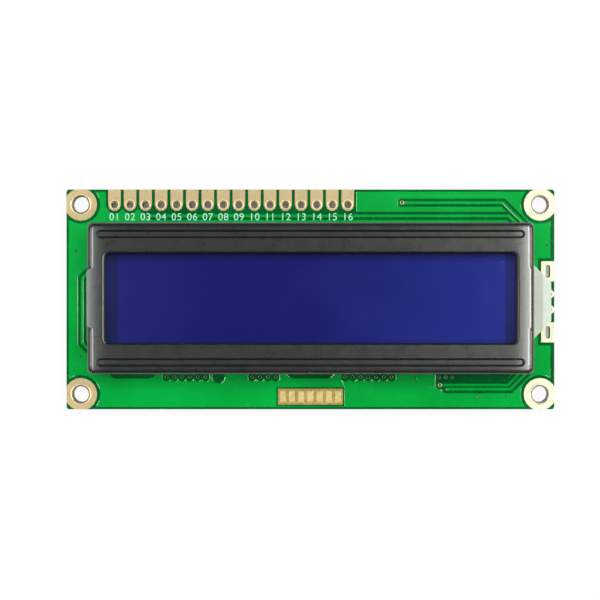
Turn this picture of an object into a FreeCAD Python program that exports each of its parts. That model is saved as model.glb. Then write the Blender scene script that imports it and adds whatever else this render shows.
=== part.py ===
import FreeCAD, Part
import math
import os

import Sketcher

# Character display module: a circuit board with plated lands, a stamped bezel that holds a
# display cell and its edge-lit backlight, and the small parts behind the board.
# Millimetres. The origin is at the middle of the module, on the plane its six tab tips stand on.
# +X runs along the header row, +Y towards the header's edge, +Z out of the display.

SIZES = {
    # Circuit board
    "board_end": 4.25,
    "board_rim": 5.85,
    "board_thickness": 1.6,
    "board_corner": 0.3,
    "copper_thickness": 0.05,
    "plating": 0.05,
    # Corner mounting holes
    "mount_inset_x": 2.35,
    "mount_inset_y": 2.45,
    "mount_bore": 1.3,
    "mount_land": 2.65,
    # Header row
    "header_count": 16,
    "header_pitch": 2.54,
    "header_margin": 7.85,
    "header_inset": 2.5,
    "header_bore": 0.5,
    "header_land_width": 2.04,
    # Backlight lands at the right edge
    "backlight_shift": -0.4,
    "slot_land_length": 3.3,
    "slot_land_width": 2.15,
    "slot_land_pitch": 9.95,
    "slot_length": 2.1,
    "slot_width": 0.72,
    "slot_inset": 1.05,
    "lamp_pitch": 2.54,
    "lamp_land": 0.75,
    "lamp_bore": 0.4,
    "lamp_bore_inset": 0.75,
    # Front copper
    "pour_inset": 0.35,
    "pour_inset_right": 0.65,
    "land_gap": 0.5,
    "trace_width": 0.45,
    "trace_gap": 0.45,
    "via_gap": 0.7,
    "header_gap": 0.4,
    "header_field": 4.3,
    "upper_trace_start": 8.85,
    "upper_trace_drop": 2.15,
    "upper_trace_turn": 8.35,
    "row_trace_start": 5.8,
    "row_trace_turn": 7.45,
    "lower_trace_start": 18.7,
    "lower_trace_rise": 3.95,
    "lower_trace_turn": 7.6,
    "lower_trace_step": 0.675,
    "side_trace_inset": 2.55,
    "side_trace_high": 3.44,
    "side_trace_low": -7.12,
    "tab_field_length": 8.0,
    "tab_field_width": 2.7,
    "via_row_drop": 1.1,
    "via_pitch": 1.27,
    "first_vias_gap": 5.5,
    "first_vias": 6,
    "middle_vias_x": -9.5,
    "middle_vias": 4,
    "last_vias_x": 5.65,
    "last_vias": 7,
    "test_point_gap": 8.5,
    "test_point": 1.03,
    "label_length": 10.6,
    "label_width": 2.6,
    "label_inset": 2.05,
    "label_gap": 0.25,
    "label_bars": 7,
    "label_bar_width": 1.0,
    "label_bar_height": 1.8,
    # Bezel
    "bezel_length": 71.2,
    "bezel_width": 24.2,
    "bezel_shift": 0.2,
    "sheet_thickness": 0.6,
    "bend_radius": 0.8,
    "corner_cut": 0.6,
    "corner_relief": 0.9,
    "window_end": 2.9,
    "window_rim": 3.05,
    "window_corner": 0.8,
    "window_bevel": 0.25,
    "channel_end": 1.5,
    "channel_floor": 0.7,
    "channel_flank": 0.33,
    "channel_inset": 1.9,
    "channel_depth": 0.4,
    "cutaway_width": 9.8,
    "cutaway_slope": 0.6,
    "tab_width": 3.0,
    "tab_end": 6.6,
    "tab_reach": 1.8,
    "tab_neck": 0.2,
    "tab_twist": 25.0,
    "tab_clearance": 0.15,
    # Display cell
    "glass_thickness": 1.1,
    "glass_clearance": 0.3,
    "cell_gap": 0.05,
    "seal_width": 1.0,
    "ledge": 0.5,
    "polariser_thickness": 0.2,
    "polariser_clearance": 0.25,
    # Connector strips
    "strip_end": 2.6,
    "strip_width": 1.8,
    "strip_clearance": 0.25,
    "contact_count": 16,
    "contact_end": 2.52,
    "contact_width": 2.6,
    "contact_length": 1.8,
    # Backlight
    "reflector_thickness": 0.1,
    "guide_thickness": 3.35,
    "guide_clearance": 0.3,
    "diffuser_thickness": 0.3,
    "neck_width": 12.7,
    "tip_inset": 1.05,
    "tip_width": 6.2,
    "lamp_depth": 1.4,
    "notch_clearance": 0.2,
    "lead_width": 0.5,
    "lead_thickness": 0.25,
    "lead_rise": 1.3,
    "lead_tail": 0.7,
    "solder_height": 0.6,
    # Parts behind the board
    "controller_blob": 7.0,
    "driver_blob": 6.0,
    "bus_count": 6,
    "bus_pitch": 1.0,
    "blob_height": 1.3,
    "blob_rim": 0.35,
    "blob_shoulder": 0.65,
    "controller_x": -12.0,
    "driver_x": 14.5,
    "blob_y": 0.0,
    "chips_middle": 1.3,
    "chips_rise": 4.4,
    "chip_pitch": 2.6,
    "chip_length": 2.0,
    "chip_width": 1.25,
    "chip_cap": 0.4,
    "resistor_height": 0.5,
    "capacitor_height": 0.95,
    "chip_pad_margin": 0.35,
}

# Angles between which each group of back traces meets its blob's rim, in degrees
SIGNAL_FAN = (150, 30)
FIRST_FAN = (218, 252)
MIDDLE_FAN = (272, 308)
LAST_FAN = (212, 266)

# Header lands that lead to the controller, counted from zero
SIGNALS = range(3, 14)

# Flats in a small round, kept few because the lands repeat
MOUNT_SIDES = 20
BORE_SIDES = 10
HALF_ROUND_SIDES = 5

doc = FreeCAD.newDocument("character_display_module")
sheet = doc.addObject("Spreadsheet::Sheet", "Sizes")
for row, (alias, number) in enumerate(SIZES.items(), start=1):
    sheet.set(f"A{row}", alias)
    sheet.set(f"B{row}", str(number))
    sheet.setAlias(f"B{row}", alias)
doc.recompute()

# Levels, from the plane the tabs stand on upwards
BOARD_BACK = "Sizes.tab_reach"
BOARD_FRONT = "(Sizes.tab_reach + Sizes.board_thickness)"
COPPER_TOP = f"({BOARD_FRONT} + Sizes.copper_thickness)"
GUIDE_BASE = f"({BOARD_FRONT} + Sizes.reflector_thickness)"
DIFFUSER_BASE = f"({GUIDE_BASE} + Sizes.guide_thickness)"
REAR_POLARISER_BASE = f"({DIFFUSER_BASE} + Sizes.diffuser_thickness)"
REAR_GLASS_BASE = f"({REAR_POLARISER_BASE} + Sizes.polariser_thickness)"
SEAL_BASE = f"({REAR_GLASS_BASE} + Sizes.glass_thickness)"
FRONT_GLASS_BASE = f"({SEAL_BASE} + Sizes.cell_gap)"
GLASS_TOP = f"({FRONT_GLASS_BASE} + Sizes.glass_thickness)"
SHEET_UNDERSIDE = f"({GLASS_TOP} + Sizes.channel_depth)"
BEZEL_TOP = f"({SHEET_UNDERSIDE} + Sizes.sheet_thickness)"

# Edges and centre lines in plan, from the bezel outwards and inwards
BEZEL_RIGHT = "(Sizes.bezel_length / 2)"
BEZEL_TOP_Y = "(Sizes.bezel_width / 2)"
RIGHT_EDGE = f"({BEZEL_RIGHT} + Sizes.board_end)"
TOP_EDGE = f"({BEZEL_TOP_Y} + Sizes.board_rim)"
BOARD_LENGTH = f"(2 * {RIGHT_EDGE})"
BOARD_WIDTH = f"(2 * {TOP_EDGE})"
MOUNT_X = f"({RIGHT_EDGE} - Sizes.mount_inset_x)"
MOUNT_Y = f"({TOP_EDGE} - Sizes.mount_inset_y)"
HEADER_X = f"(Sizes.header_margin - {RIGHT_EDGE})"
HEADER_Y = f"({TOP_EDGE} - Sizes.header_inset)"
LAMP_X = f"({RIGHT_EDGE} - Sizes.lamp_bore_inset)"
SLOT_X = f"({RIGHT_EDGE} - Sizes.slot_inset)"
LABEL_Y = f"(Sizes.label_inset - {TOP_EDGE})"
WALL_INSIDE_X = f"({BEZEL_RIGHT} - Sizes.sheet_thickness)"
WALL_INSIDE_Y = f"({BEZEL_TOP_Y} - Sizes.sheet_thickness)"
TAB_WALL_Y = f"({BEZEL_TOP_Y} - Sizes.sheet_thickness / 2)"
TAB_PITCH = f"({BEZEL_RIGHT} - Sizes.tab_end)"
FIRST_VIAS_X = f"(Sizes.first_vias_gap - {TAB_PITCH})"
CHANNEL_Y = f"({BEZEL_TOP_Y} - Sizes.channel_inset)"
CHANNEL_LENGTH = f"(2 * ({BEZEL_RIGHT} - Sizes.channel_end))"
WINDOW_LENGTH = f"(2 * ({BEZEL_RIGHT} - Sizes.window_end))"
WINDOW_WIDTH = f"(2 * ({CHANNEL_Y} - Sizes.window_rim))"
STRIP_LENGTH = f"(2 * ({BEZEL_RIGHT} - Sizes.strip_end))"
STRIP_INSIDE_Y = f"({CHANNEL_Y} - Sizes.strip_width / 2)"
STACK_WIDTH = f"(2 * ({STRIP_INSIDE_Y} - Sizes.strip_clearance))"
CONTACT_PITCH = f"(({STRIP_LENGTH} - 2 * Sizes.contact_end) / Sizes.contact_count)"
GUIDE_END_X = f"({RIGHT_EDGE} - Sizes.tip_inset)"

cuts = []


def size(expression):
    """Value that an expression over the sheet has now."""
    return float(sheet.evalExpression(expression))


# Sketches and features


def new_body(name):
    body = doc.addObject("PartDesign::Body", name)
    body.Label = name
    return body


def new_sketch(body, name, level, plane="XY_Plane"):
    sketch = body.newObject("Sketcher::SketchObject", f"{body.Name}_{name}")
    origin_plane = next(item for item in body.Origin.OriginFeatures if item.Role == plane)
    sketch.AttachmentSupport = [(origin_plane, "")]
    sketch.MapMode = "FlatFace"
    sketch.setExpression("AttachmentOffset.Base.z", level)
    return sketch


def hold_points(sketch, places):
    """Place points of a sketch from its origin: (geometry, point, x expression, y expression)."""
    constraints, expressions = [], []
    for geometry, point, x, y in places:
        for kind, expression in (("DistanceX", x), ("DistanceY", y)):
            constraints.append(Sketcher.Constraint(kind, -1, 1, geometry, point, size(expression)))
            expressions.append(expression)
    first = sketch.ConstraintCount
    sketch.addConstraint(constraints)
    for index, expression in enumerate(expressions, start=first):
        sketch.setExpression(f"Constraints[{index}]", expression)


def draw_polygon(sketch, corners):
    """Closed run of straight lines whose corners are expressions."""
    points = [FreeCAD.Vector(size(x), size(y), 0) for x, y in corners]
    segments = [Part.LineSegment(start, end) for start, end in zip(points, points[1:] + points[:1])]
    lines = sketch.addGeometry(segments, False)
    joins = [
        Sketcher.Constraint("Coincident", before, 2, line, 1)
        for before, line in zip(lines[-1:] + lines[:-1], lines)
    ]
    sketch.addConstraint(joins)
    hold_points(sketch, [(line, 1, x, y) for line, (x, y) in zip(lines, corners)])


def draw_circle(sketch, x, y, radius):
    centre = FreeCAD.Vector(size(x), size(y), 0)
    circle = sketch.addGeometry(Part.Circle(centre, FreeCAD.Vector(0, 0, 1), size(radius)), False)
    index = sketch.addConstraint(Sketcher.Constraint("Radius", circle, size(radius)))
    sketch.setExpression(f"Constraints[{index}]", radius)
    hold_points(sketch, [(circle, 3, x, y)])


def round_corners(x, y, radius, sides, start=0.0, sweep=360.0):
    """Corners of a small round drawn with flats, as expressions."""
    count = sides if sweep == 360.0 else sides + 1
    angles = [math.radians(start + sweep * index / sides) for index in range(count)]
    return [
        (f"({x}) + ({radius}) * {math.cos(angle):.6f}", f"({y}) + ({radius}) * {math.sin(angle):.6f}")
        for angle in angles
    ]


def draw_round(sketch, x, y, radius, sides):
    draw_polygon(sketch, round_corners(x, y, radius, sides))


def draw_rectangle(sketch, x, y, length, width):
    left, right = f"({x}) - ({length}) / 2", f"({x}) + ({length}) / 2"
    low, high = f"({y}) - ({width}) / 2", f"({y}) + ({width}) / 2"
    draw_polygon(sketch, [(left, low), (right, low), (right, high), (left, high)])


def draw_slot(sketch, x, y, length, width, sides, along="x"):
    """Slot with round ends, of an overall length, along the sketch's x or y."""
    radius, reach = f"({width}) / 2", f"(({length}) - ({width})) / 2"
    if along == "x":
        first = round_corners(f"({x}) + {reach}", y, radius, sides, -90, 180)
        second = round_corners(f"({x}) - {reach}", y, radius, sides, 90, 180)
    else:
        first = round_corners(x, f"({y}) + {reach}", radius, sides, 0, 180)
        second = round_corners(x, f"({y}) - {reach}", radius, sides, 180, 180)
    draw_polygon(sketch, first + second)


def draw_tongue(sketch, x, y, width, top, sides):
    """Outline with a half-round foot about (x, y) and straight sides up to a level edge."""
    foot = round_corners(x, y, f"({width}) / 2", sides, 180, 180)
    draw_polygon(sketch, foot + [(foot[-1][0], top), (foot[0][0], top)])


def add_pad(body, sketch, length, downwards=False):
    pad = body.newObject("PartDesign::Pad", f"{sketch.Name}_pad")
    pad.Profile = sketch
    pad.setExpression("Length", length)
    pad.Reversed = downwards
    return pad


def add_pocket(body, sketch, length=None, upwards=False):
    """Cut along the sketch's normal: through everything, or to a length."""
    pocket = body.newObject("PartDesign::Pocket", f"{sketch.Name}_pocket")
    pocket.Profile = sketch
    pocket.Reversed = upwards
    if length is None:
        pocket.Type = "ThroughAll"
    else:
        pocket.setExpression("Length", length)
    cuts.append(pocket)
    return pocket


def add_row(body, originals, sketch, pitch, count):
    """Repeat features along +X."""
    row = body.newObject("PartDesign::LinearPattern", f"{originals[0].Name}_row")
    row.Originals = originals
    row.Direction = (sketch, ["H_Axis"])
    row.setExpression("Length", f"({pitch}) * (({count}) - 1)")
    row.setExpression("Occurrences", count)
    body.Tip = row
    return row


def edge_names(shape, wanted):
    return [f"Edge{index}" for index, edge in enumerate(shape.Edges, start=1) if wanted(edge)]


def dress_edges(body, kind, base, wanted, property_name, expression):
    """Fillet or chamfer on the edges of the last feature that a test picks."""
    doc.recompute()
    feature = body.newObject(f"PartDesign::{kind}", f"{base.Name}_{kind.lower()}")
    feature.Base = (base, edge_names(base.Shape, wanted))
    feature.setExpression(property_name, expression)
    body.Tip = feature
    return feature


def is_upright(edge):
    box = edge.BoundBox
    return box.XLength < 1e-6 and box.YLength < 1e-6


def lies_at(edge, level):
    box = edge.BoundBox
    return abs(box.ZMin - level) < 1e-6 and abs(box.ZMax - level) < 1e-6


def add_shape(name, shape):
    """Sub-part whose outline is worked out by the functions below."""
    feature = doc.addObject("Part::Feature", name)
    feature.Label = name
    feature.Shape = shape
    feature.Placement = FreeCAD.Placement()
    return feature


# Holes and outlines shared by the board and its plated lands


def draw_mount_barrel(sketch, x, y):
    draw_round(sketch, x, y, "Sizes.mount_bore + 2 * Sizes.plating", MOUNT_SIDES)


def draw_header_bore(sketch, x, growth="0"):
    draw_round(sketch, x, HEADER_Y, f"Sizes.header_bore + {growth}", BORE_SIDES)


def draw_wire_slot(sketch, y, growth="0"):
    length, width = f"Sizes.slot_length + 2 * {growth}", f"Sizes.slot_width + 2 * {growth}"
    draw_slot(sketch, SLOT_X, y, length, width, HALF_ROUND_SIDES, along="y")


def draw_lamp_bore(sketch, y, growth="0"):
    draw_round(sketch, LAMP_X, y, f"Sizes.lamp_bore + {growth}", BORE_SIDES)


def wire_slot_y(side):
    return f"(Sizes.backlight_shift {side} Sizes.slot_land_pitch / 2)"


def lamp_bore_y(side):
    return f"(Sizes.backlight_shift {side} Sizes.lamp_pitch / 2)"


# Circuit board


def make_circuit_board():
    body = new_body("circuit_board")
    outline = new_sketch(body, "outline", BOARD_BACK)
    draw_rectangle(outline, "0", "0", BOARD_LENGTH, BOARD_WIDTH)
    slab = add_pad(body, outline, "Sizes.board_thickness")
    dress_edges(body, "Chamfer", slab, is_upright, "Size", "Sizes.board_corner")

    mounts = new_sketch(body, "mounts", BOARD_FRONT)
    for x in (f"-{MOUNT_X}", MOUNT_X):
        for y in (f"-{MOUNT_Y}", MOUNT_Y):
            draw_mount_barrel(mounts, x, y)
    add_pocket(body, mounts)

    header = new_sketch(body, "header", BOARD_FRONT)
    draw_header_bore(header, HEADER_X, "Sizes.plating")
    add_row(body, [add_pocket(body, header)], header, "Sizes.header_pitch", "Sizes.header_count")

    backlight = new_sketch(body, "backlight", BOARD_FRONT)
    for side in ("-", "+"):
        draw_wire_slot(backlight, wire_slot_y(side), "Sizes.plating")
        draw_lamp_bore(backlight, lamp_bore_y(side), "Sizes.plating")
    add_pocket(body, backlight)

    slots = new_sketch(body, "tab_slots", BOARD_FRONT)
    for side in ("-", "+"):
        draw_rectangle(
            slots,
            f"-{TAB_PITCH}",
            f"Sizes.bezel_shift {side} {TAB_WALL_Y}",
            "Sizes.tab_width + 2 * Sizes.tab_clearance",
            "Sizes.sheet_thickness + 2 * Sizes.tab_clearance",
        )
    add_row(body, [add_pocket(body, slots)], slots, TAB_PITCH, "3")
    return body


# Plated lands


def make_land(name, draw_outline, draw_barrel, draw_bore):
    """Flat ring on each face of the board, joined by the plated wall of the bore."""
    body = new_body(name)
    front = new_sketch(body, "front", BOARD_FRONT)
    draw_outline(front)
    draw_bore(front)
    add_pad(body, front, "Sizes.copper_thickness")
    barrel = new_sketch(body, "barrel", BOARD_BACK)
    draw_barrel(barrel)
    draw_bore(barrel)
    add_pad(body, barrel, "Sizes.board_thickness")
    back = new_sketch(body, "back", BOARD_BACK)
    draw_outline(back)
    draw_bore(back)
    add_pad(body, back, "Sizes.copper_thickness", downwards=True)
    return body


def make_header_land(index):
    x = f"{HEADER_X} + {index} * Sizes.header_pitch"

    def draw_outline(sketch):
        draw_tongue(sketch, x, HEADER_Y, "Sizes.header_land_width", TOP_EDGE, HALF_ROUND_SIDES)

    return make_land(
        f"header_land_{index + 1:02d}",
        draw_outline,
        lambda sketch: draw_header_bore(sketch, x, "Sizes.plating"),
        lambda sketch: draw_header_bore(sketch, x),
    )


def make_mount_land(name, x, y):
    """Round land that runs past the board's edges and is cut with them."""

    def draw_outline(sketch):
        draw_round(sketch, x, y, "Sizes.mount_land", MOUNT_SIDES)

    body = make_land(
        name,
        draw_outline,
        lambda sketch: draw_mount_barrel(sketch, x, y),
        lambda sketch: draw_circle(sketch, x, y, "Sizes.mount_bore"),
    )
    over = "4 * Sizes.mount_land"
    trim = new_sketch(body, "trim", f"{COPPER_TOP} + Sizes.board_thickness")
    draw_rectangle(trim, "0", "0", f"{BOARD_LENGTH} + {over}", f"{BOARD_WIDTH} + {over}")
    draw_rectangle(trim, "0", "0", BOARD_LENGTH, BOARD_WIDTH)
    add_pocket(body, trim)
    return body


def make_slot_land(name, side):
    """Rectangular land round a wire slot, flush with the board's right edge."""

    def draw_outline(sketch):
        centre = f"({RIGHT_EDGE} - Sizes.slot_land_width / 2)"
        draw_rectangle(sketch, centre, wire_slot_y(side), "Sizes.slot_land_width", "Sizes.slot_land_length")

    return make_land(
        name,
        draw_outline,
        lambda sketch: draw_wire_slot(sketch, wire_slot_y(side), "Sizes.plating"),
        lambda sketch: draw_wire_slot(sketch, wire_slot_y(side)),
    )


def make_lamp_land(name, side):
    """Round land for one of the lamp's leads."""

    def draw_outline(sketch):
        draw_round(sketch, LAMP_X, lamp_bore_y(side), "Sizes.lamp_land", BORE_SIDES)

    return make_land(
        name,
        draw_outline,
        lambda sketch: draw_lamp_bore(sketch, lamp_bore_y(side), "Sizes.plating"),
        lambda sketch: draw_lamp_bore(sketch, lamp_bore_y(side)),
    )


def make_label_plate():
    """Bare gilt plate near the lower edge, with a row of plain raised bars."""
    body = new_body("label_plate")
    plate = new_sketch(body, "plate", BOARD_FRONT)
    draw_rectangle(plate, "0", LABEL_Y, "Sizes.label_length", "Sizes.label_width")
    add_pad(body, plate, "Sizes.copper_thickness")
    bar = new_sketch(body, "bar", COPPER_TOP)
    pitch = "(Sizes.label_length / Sizes.label_bars)"
    first = f"({pitch} - Sizes.label_length) / 2"
    draw_rectangle(bar, first, LABEL_Y, "Sizes.label_bar_width", "Sizes.label_bar_height")
    raised = add_pad(body, bar, "Sizes.copper_thickness")
    add_row(body, [raised], bar, pitch, "Sizes.label_bars")
    return body


# Etched copper, as flat faces that are joined, cut and given the foil's thickness


def disc(x, y, radius, sides=12):
    """Round face drawn with flats."""
    turns = [2 * math.pi * index / sides for index in range(sides)]
    rim = [FreeCAD.Vector(x + radius * math.cos(turn), y + radius * math.sin(turn), 0) for turn in turns]
    return Part.Face(Part.makePolygon(rim + rim[:1]))


def block(left, low, right, high):
    corners = [(left, low), (right, low), (right, high), (left, high), (left, low)]
    return Part.Face(Part.makePolygon([FreeCAD.Vector(x, y, 0) for x, y in corners]))


def obround(x, y, length, width):
    reach = (length - width) / 2
    bar = block(x - reach, y - width / 2, x + reach, y + width / 2)
    ends = [disc(x - reach, y, width / 2), disc(x + reach, y, width / 2)]
    return merge([bar] + ends)


def merge(faces):
    return faces[0].multiFuse(faces[1:]).removeSplitter()


def band(route, width):
    """Face of a trace: one width along a run of points, mitred at its turns."""
    points = [FreeCAD.Vector(x, y, 0) for x, y in route]
    headings = [(end - start).normalize() for start, end in zip(points, points[1:])]
    left, right = [], []
    for index, point in enumerate(points):
        before = headings[max(index - 1, 0)]
        after = headings[min(index, len(headings) - 1)]
        across = FreeCAD.Vector(-before.y - after.y, before.x + after.x, 0).normalize()
        stretch = width / 2 / (across.x * -before.y + across.y * before.x)
        left.append(point + across * stretch)
        right.append(point - across * stretch)
    return Part.Face(Part.makePolygon(left + right[::-1] + left[:1]))


def foil(face, level, thickness):
    """Copper of one thickness on a flat face, standing on a level."""
    solid = face.extrude(FreeCAD.Vector(0, 0, thickness))
    solid.translate(FreeCAD.Vector(0, 0, level))
    return solid


def front_routes():
    """Traces on the front, each as the run of its centre line."""
    right, top = size(RIGHT_EDGE), size(TOP_EDGE)
    wall_top = size(f"Sizes.bezel_shift + {BEZEL_TOP_Y} - Sizes.sheet_thickness / 2")
    wall_low = size(f"Sizes.bezel_shift - {BEZEL_TOP_Y} + Sizes.sheet_thickness / 2")
    wall_left = -size(BEZEL_RIGHT) + size("Sizes.sheet_thickness / 2")
    row_start = size(HEADER_X)
    row_end = size(f"{HEADER_X} + (Sizes.header_count - 1) * Sizes.header_pitch")

    def down_to_bezel(start_x, y, turn_x):
        return [(start_x, y), (turn_x, y), (turn_x + y - wall_top, wall_top)]

    def up_to_bezel(start_x, y, turn_x):
        return [(start_x, y), (turn_x, y), (turn_x + wall_low - y, wall_low)]

    upper = down_to_bezel(
        row_end + size("Sizes.upper_trace_start"),
        top - size("Sizes.upper_trace_drop"),
        right - size("Sizes.upper_trace_turn"),
    )
    under_row = down_to_bezel(
        row_start + size("Sizes.row_trace_start"),
        top - size("Sizes.header_field"),
        right - size("Sizes.row_trace_turn"),
    )
    start = right - size("Sizes.lower_trace_start")
    level = size("Sizes.lower_trace_rise") - top
    turn = right - size("Sizes.lower_trace_turn")
    step = size("Sizes.lower_trace_step")
    lower = up_to_bezel(start, level, turn)
    lowest = up_to_bezel(start + 1.5 * step, level - step, turn + 0.6 * step)
    side_x = size("Sizes.side_trace_inset") - right
    high, low = size("Sizes.side_trace_high"), size("Sizes.side_trace_low")
    slant = wall_left - side_x
    side = [(wall_left, high + slant), (side_x, high), (side_x, low), (wall_left, low - slant)]
    return {"upper": upper, "under_row": under_row, "lower": lower, "lowest": lowest, "side": side}


def via_rows():
    """Centres of the vias along the lower wall."""
    y = size(f"Sizes.bezel_shift - {TAB_WALL_Y} - Sizes.via_row_drop")
    starts = {"first": FIRST_VIAS_X, "middle": "Sizes.middle_vias_x", "last": "Sizes.last_vias_x"}
    rows = {}
    for name, start_x in starts.items():
        count, pitch = int(size(f"Sizes.{name}_vias")), size("Sizes.via_pitch")
        rows[name] = [(size(start_x) + index * pitch, y) for index in range(count)]
    return rows


def mount_centres():
    half_x, half_y = size(MOUNT_X), size(MOUNT_Y)
    return [(x, y) for x in (-half_x, half_x) for y in (-half_y, half_y)]


def header_clearings():
    """Bare laminate round the header lands: arcs at the first three, one field round the rest."""
    top, x, y = size(TOP_EDGE), size(HEADER_X), size(HEADER_Y)
    pitch, last = size("Sizes.header_pitch"), size("Sizes.header_count") - 1
    reach = size("Sizes.header_land_width / 2 + Sizes.header_gap")
    arcs = [disc(x + index * pitch, y, reach) for index in range(3)]
    arcs.append(block(x - reach, y, x + 2 * pitch + reach, top))
    arcs.append(block(x + 2 * pitch, top - size("Sizes.header_field"), x + last * pitch + reach, top))
    return arcs


def edge_clearings():
    """Bare laminate round the backlight lands at the right edge."""
    right, gap = size(RIGHT_EDGE), size("Sizes.land_gap")
    half_length = size("Sizes.slot_land_length / 2") + gap
    left = right - size("Sizes.slot_land_width") - gap
    areas = []
    for side in ("-", "+"):
        slot_y = size(f"Sizes.backlight_shift {side} Sizes.slot_land_pitch / 2")
        areas.append(block(left, slot_y - half_length, right, slot_y + half_length))
        lamp_y = size(f"Sizes.backlight_shift {side} Sizes.lamp_pitch / 2")
        areas.append(disc(size(LAMP_X), lamp_y, size("Sizes.lamp_land") + gap))
    return areas


def wall_clearings():
    """Bare laminate round the tab slots and the vias along the bezel's walls."""
    y, wall_y = size("Sizes.bezel_shift"), size(TAB_WALL_Y)
    right, top = size(RIGHT_EDGE), size(TOP_EDGE)
    pitch = size(TAB_PITCH)
    length, width = size("Sizes.tab_field_length"), size("Sizes.tab_field_width")
    slot_half_x = size("Sizes.tab_width / 2 + Sizes.tab_clearance + Sizes.plating")
    slot_half_y = size("Sizes.sheet_thickness / 2 + Sizes.tab_clearance + Sizes.plating")
    areas = []
    for x in (-pitch, 0.0, pitch):
        areas.append(obround(x, y - wall_y, length, width))
        low, high = y + wall_y - slot_half_y, y + wall_y + slot_half_y
        areas.append(block(x - slot_half_x, low, x + slot_half_x, high))
    for row in via_rows().values():
        areas += [disc(*centre, size("Sizes.via_gap")) for centre in row]
    via_y = via_rows()["first"][0][1]
    areas.append(disc(size(f"{FIRST_VIAS_X} + Sizes.test_point_gap"), via_y, size("Sizes.test_point")))
    field_start = right - size("Sizes.lower_trace_start + Sizes.via_gap")
    field_end = right - size("Sizes.lower_trace_turn")
    areas.append(block(field_start, size("Sizes.lower_trace_rise") - top, field_end, y - wall_y))
    return areas


def front_clearings():
    """Everything that the front pour leaves bare."""
    gap = size("Sizes.land_gap")
    areas = [disc(x, y, size("Sizes.mount_land") + gap, MOUNT_SIDES) for x, y in mount_centres()]
    areas += header_clearings() + edge_clearings() + wall_clearings()
    routes = front_routes()
    areas += [band(route, size("Sizes.trace_width + 2 * Sizes.trace_gap")) for route in routes.values()]
    areas += [disc(*routes[name][0], size("Sizes.via_gap")) for name in ("upper", "lower", "lowest")]

    # Label plate, and the field under the display
    half, label_gap = size("Sizes.label_length / 2"), size("Sizes.label_gap")
    label_y, label_half = size(LABEL_Y), size("Sizes.label_width / 2")
    low, high = label_y - label_half - label_gap, label_y + label_half + label_gap
    areas.append(block(-half - label_gap, low, half + label_gap, high))
    inside_x, inside_y = size(WALL_INSIDE_X), size(WALL_INSIDE_Y)
    y = size("Sizes.bezel_shift")
    areas.append(block(-inside_x, y - inside_y, inside_x, y + inside_y))
    return areas


def make_front_copper():
    right, top = size(RIGHT_EDGE), size(TOP_EDGE)
    inset, inset_right = size("Sizes.pour_inset"), size("Sizes.pour_inset_right")
    level, thickness = size(BOARD_FRONT), size("Sizes.copper_thickness")
    pour = block(-right + inset, -top + inset, right - inset_right, top - inset)
    pour = pour.cut(front_clearings()).removeSplitter()
    add_shape("front_copper", Part.makeCompound([foil(pour, level, thickness)]))
    width = size("Sizes.trace_width")
    traces = [foil(band(route, width), level, thickness) for route in front_routes().values()]
    add_shape("front_traces", Part.makeCompound(traces))


def chip_places():
    """Chip parts behind the board: name, height, centre and whether the chip runs along X."""
    resistor, capacitor = "Sizes.resistor_height", "Sizes.capacitor_height"
    rise, pitch = size("Sizes.chips_rise"), size("Sizes.chip_pitch")
    left, middle, right = size(f"-{TAB_PITCH}"), size("Sizes.chips_middle"), size(TAB_PITCH) - pitch
    places = [("capacitor_3", capacitor, (middle, -rise), True)]
    for index in (0, 1):
        shift = index * pitch
        places += [
            (f"resistor_{index + 1}", resistor, (left + shift, -rise), False),
            (f"resistor_{index + 3}", resistor, (middle, rise + shift), True),
            (f"resistor_{index + 5}", resistor, (right + shift, rise), False),
            (f"capacitor_{index + 1}", capacitor, (left + shift, rise), False),
        ]
    return places


def fan(starts, first_y, level, blob_x, blob_radius, angles):
    """Traces that leave a row of points, pass a level straight and meet at a blob's rim."""
    routes = []
    first_angle, last_angle = angles
    blob_y = size("Sizes.blob_y")
    reach = blob_radius - size("Sizes.trace_width")
    for index, (start_x, pass_x) in enumerate(starts):
        angle = math.radians(first_angle + (last_angle - first_angle) * index / (len(starts) - 1))
        end = (blob_x + reach * math.cos(angle), blob_y + reach * math.sin(angle))
        route = [(start_x, first_y), (pass_x, level), end]
        if pass_x != start_x:
            width = size("Sizes.trace_width")
            route[1:1] = [(start_x, first_y - width), (pass_x, first_y - 3 * width)]
        routes.append(route)
    return routes


def back_routes():
    """Traces behind the board: fans to both blobs and the bus between them."""
    controller, driver, y = size("Sizes.controller_x"), size("Sizes.driver_x"), size("Sizes.blob_y")
    controller_radius, driver_radius = size("Sizes.controller_blob"), size("Sizes.driver_blob")
    row_y = size(f"{HEADER_Y} - Sizes.header_land_width / 2")
    pitch, row_x = size("Sizes.header_pitch"), size(HEADER_X)

    # What would run into the middle tab's slot passes it on its left
    slot_left = -size("Sizes.tab_width / 2 + Sizes.tab_clearance + Sizes.trace_width")
    step = 1.5 * size("Sizes.trace_width")
    signals = []
    for index in SIGNALS:
        start_x = row_x + index * pitch
        signals.append((start_x, min(start_x, slot_left - step * (SIGNALS[-1] - index))))
    level = size(f"Sizes.bezel_shift + {TAB_WALL_Y} - Sizes.sheet_thickness - 3 * Sizes.tab_clearance")
    routes = fan(signals, row_y, level, controller, controller_radius, SIGNAL_FAN)

    rows = {name: [(x, x) for x, _ in row] for name, row in via_rows().items()}
    via_y = via_rows()["first"][0][1]
    level = size(f"Sizes.bezel_shift - {TAB_WALL_Y} + Sizes.via_row_drop")
    routes += fan(rows["first"], via_y, level, controller, controller_radius, FIRST_FAN)
    routes += fan(rows["middle"], via_y, level, controller, controller_radius, MIDDLE_FAN)
    routes += fan(rows["last"], via_y, level, driver, driver_radius, LAST_FAN)
    count, spacing = int(size("Sizes.bus_count")), size("Sizes.bus_pitch")
    for index in range(count):
        lane = y + (index - (count - 1) / 2) * spacing
        routes.append([(controller, lane), (driver, lane)])
    return routes


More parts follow.
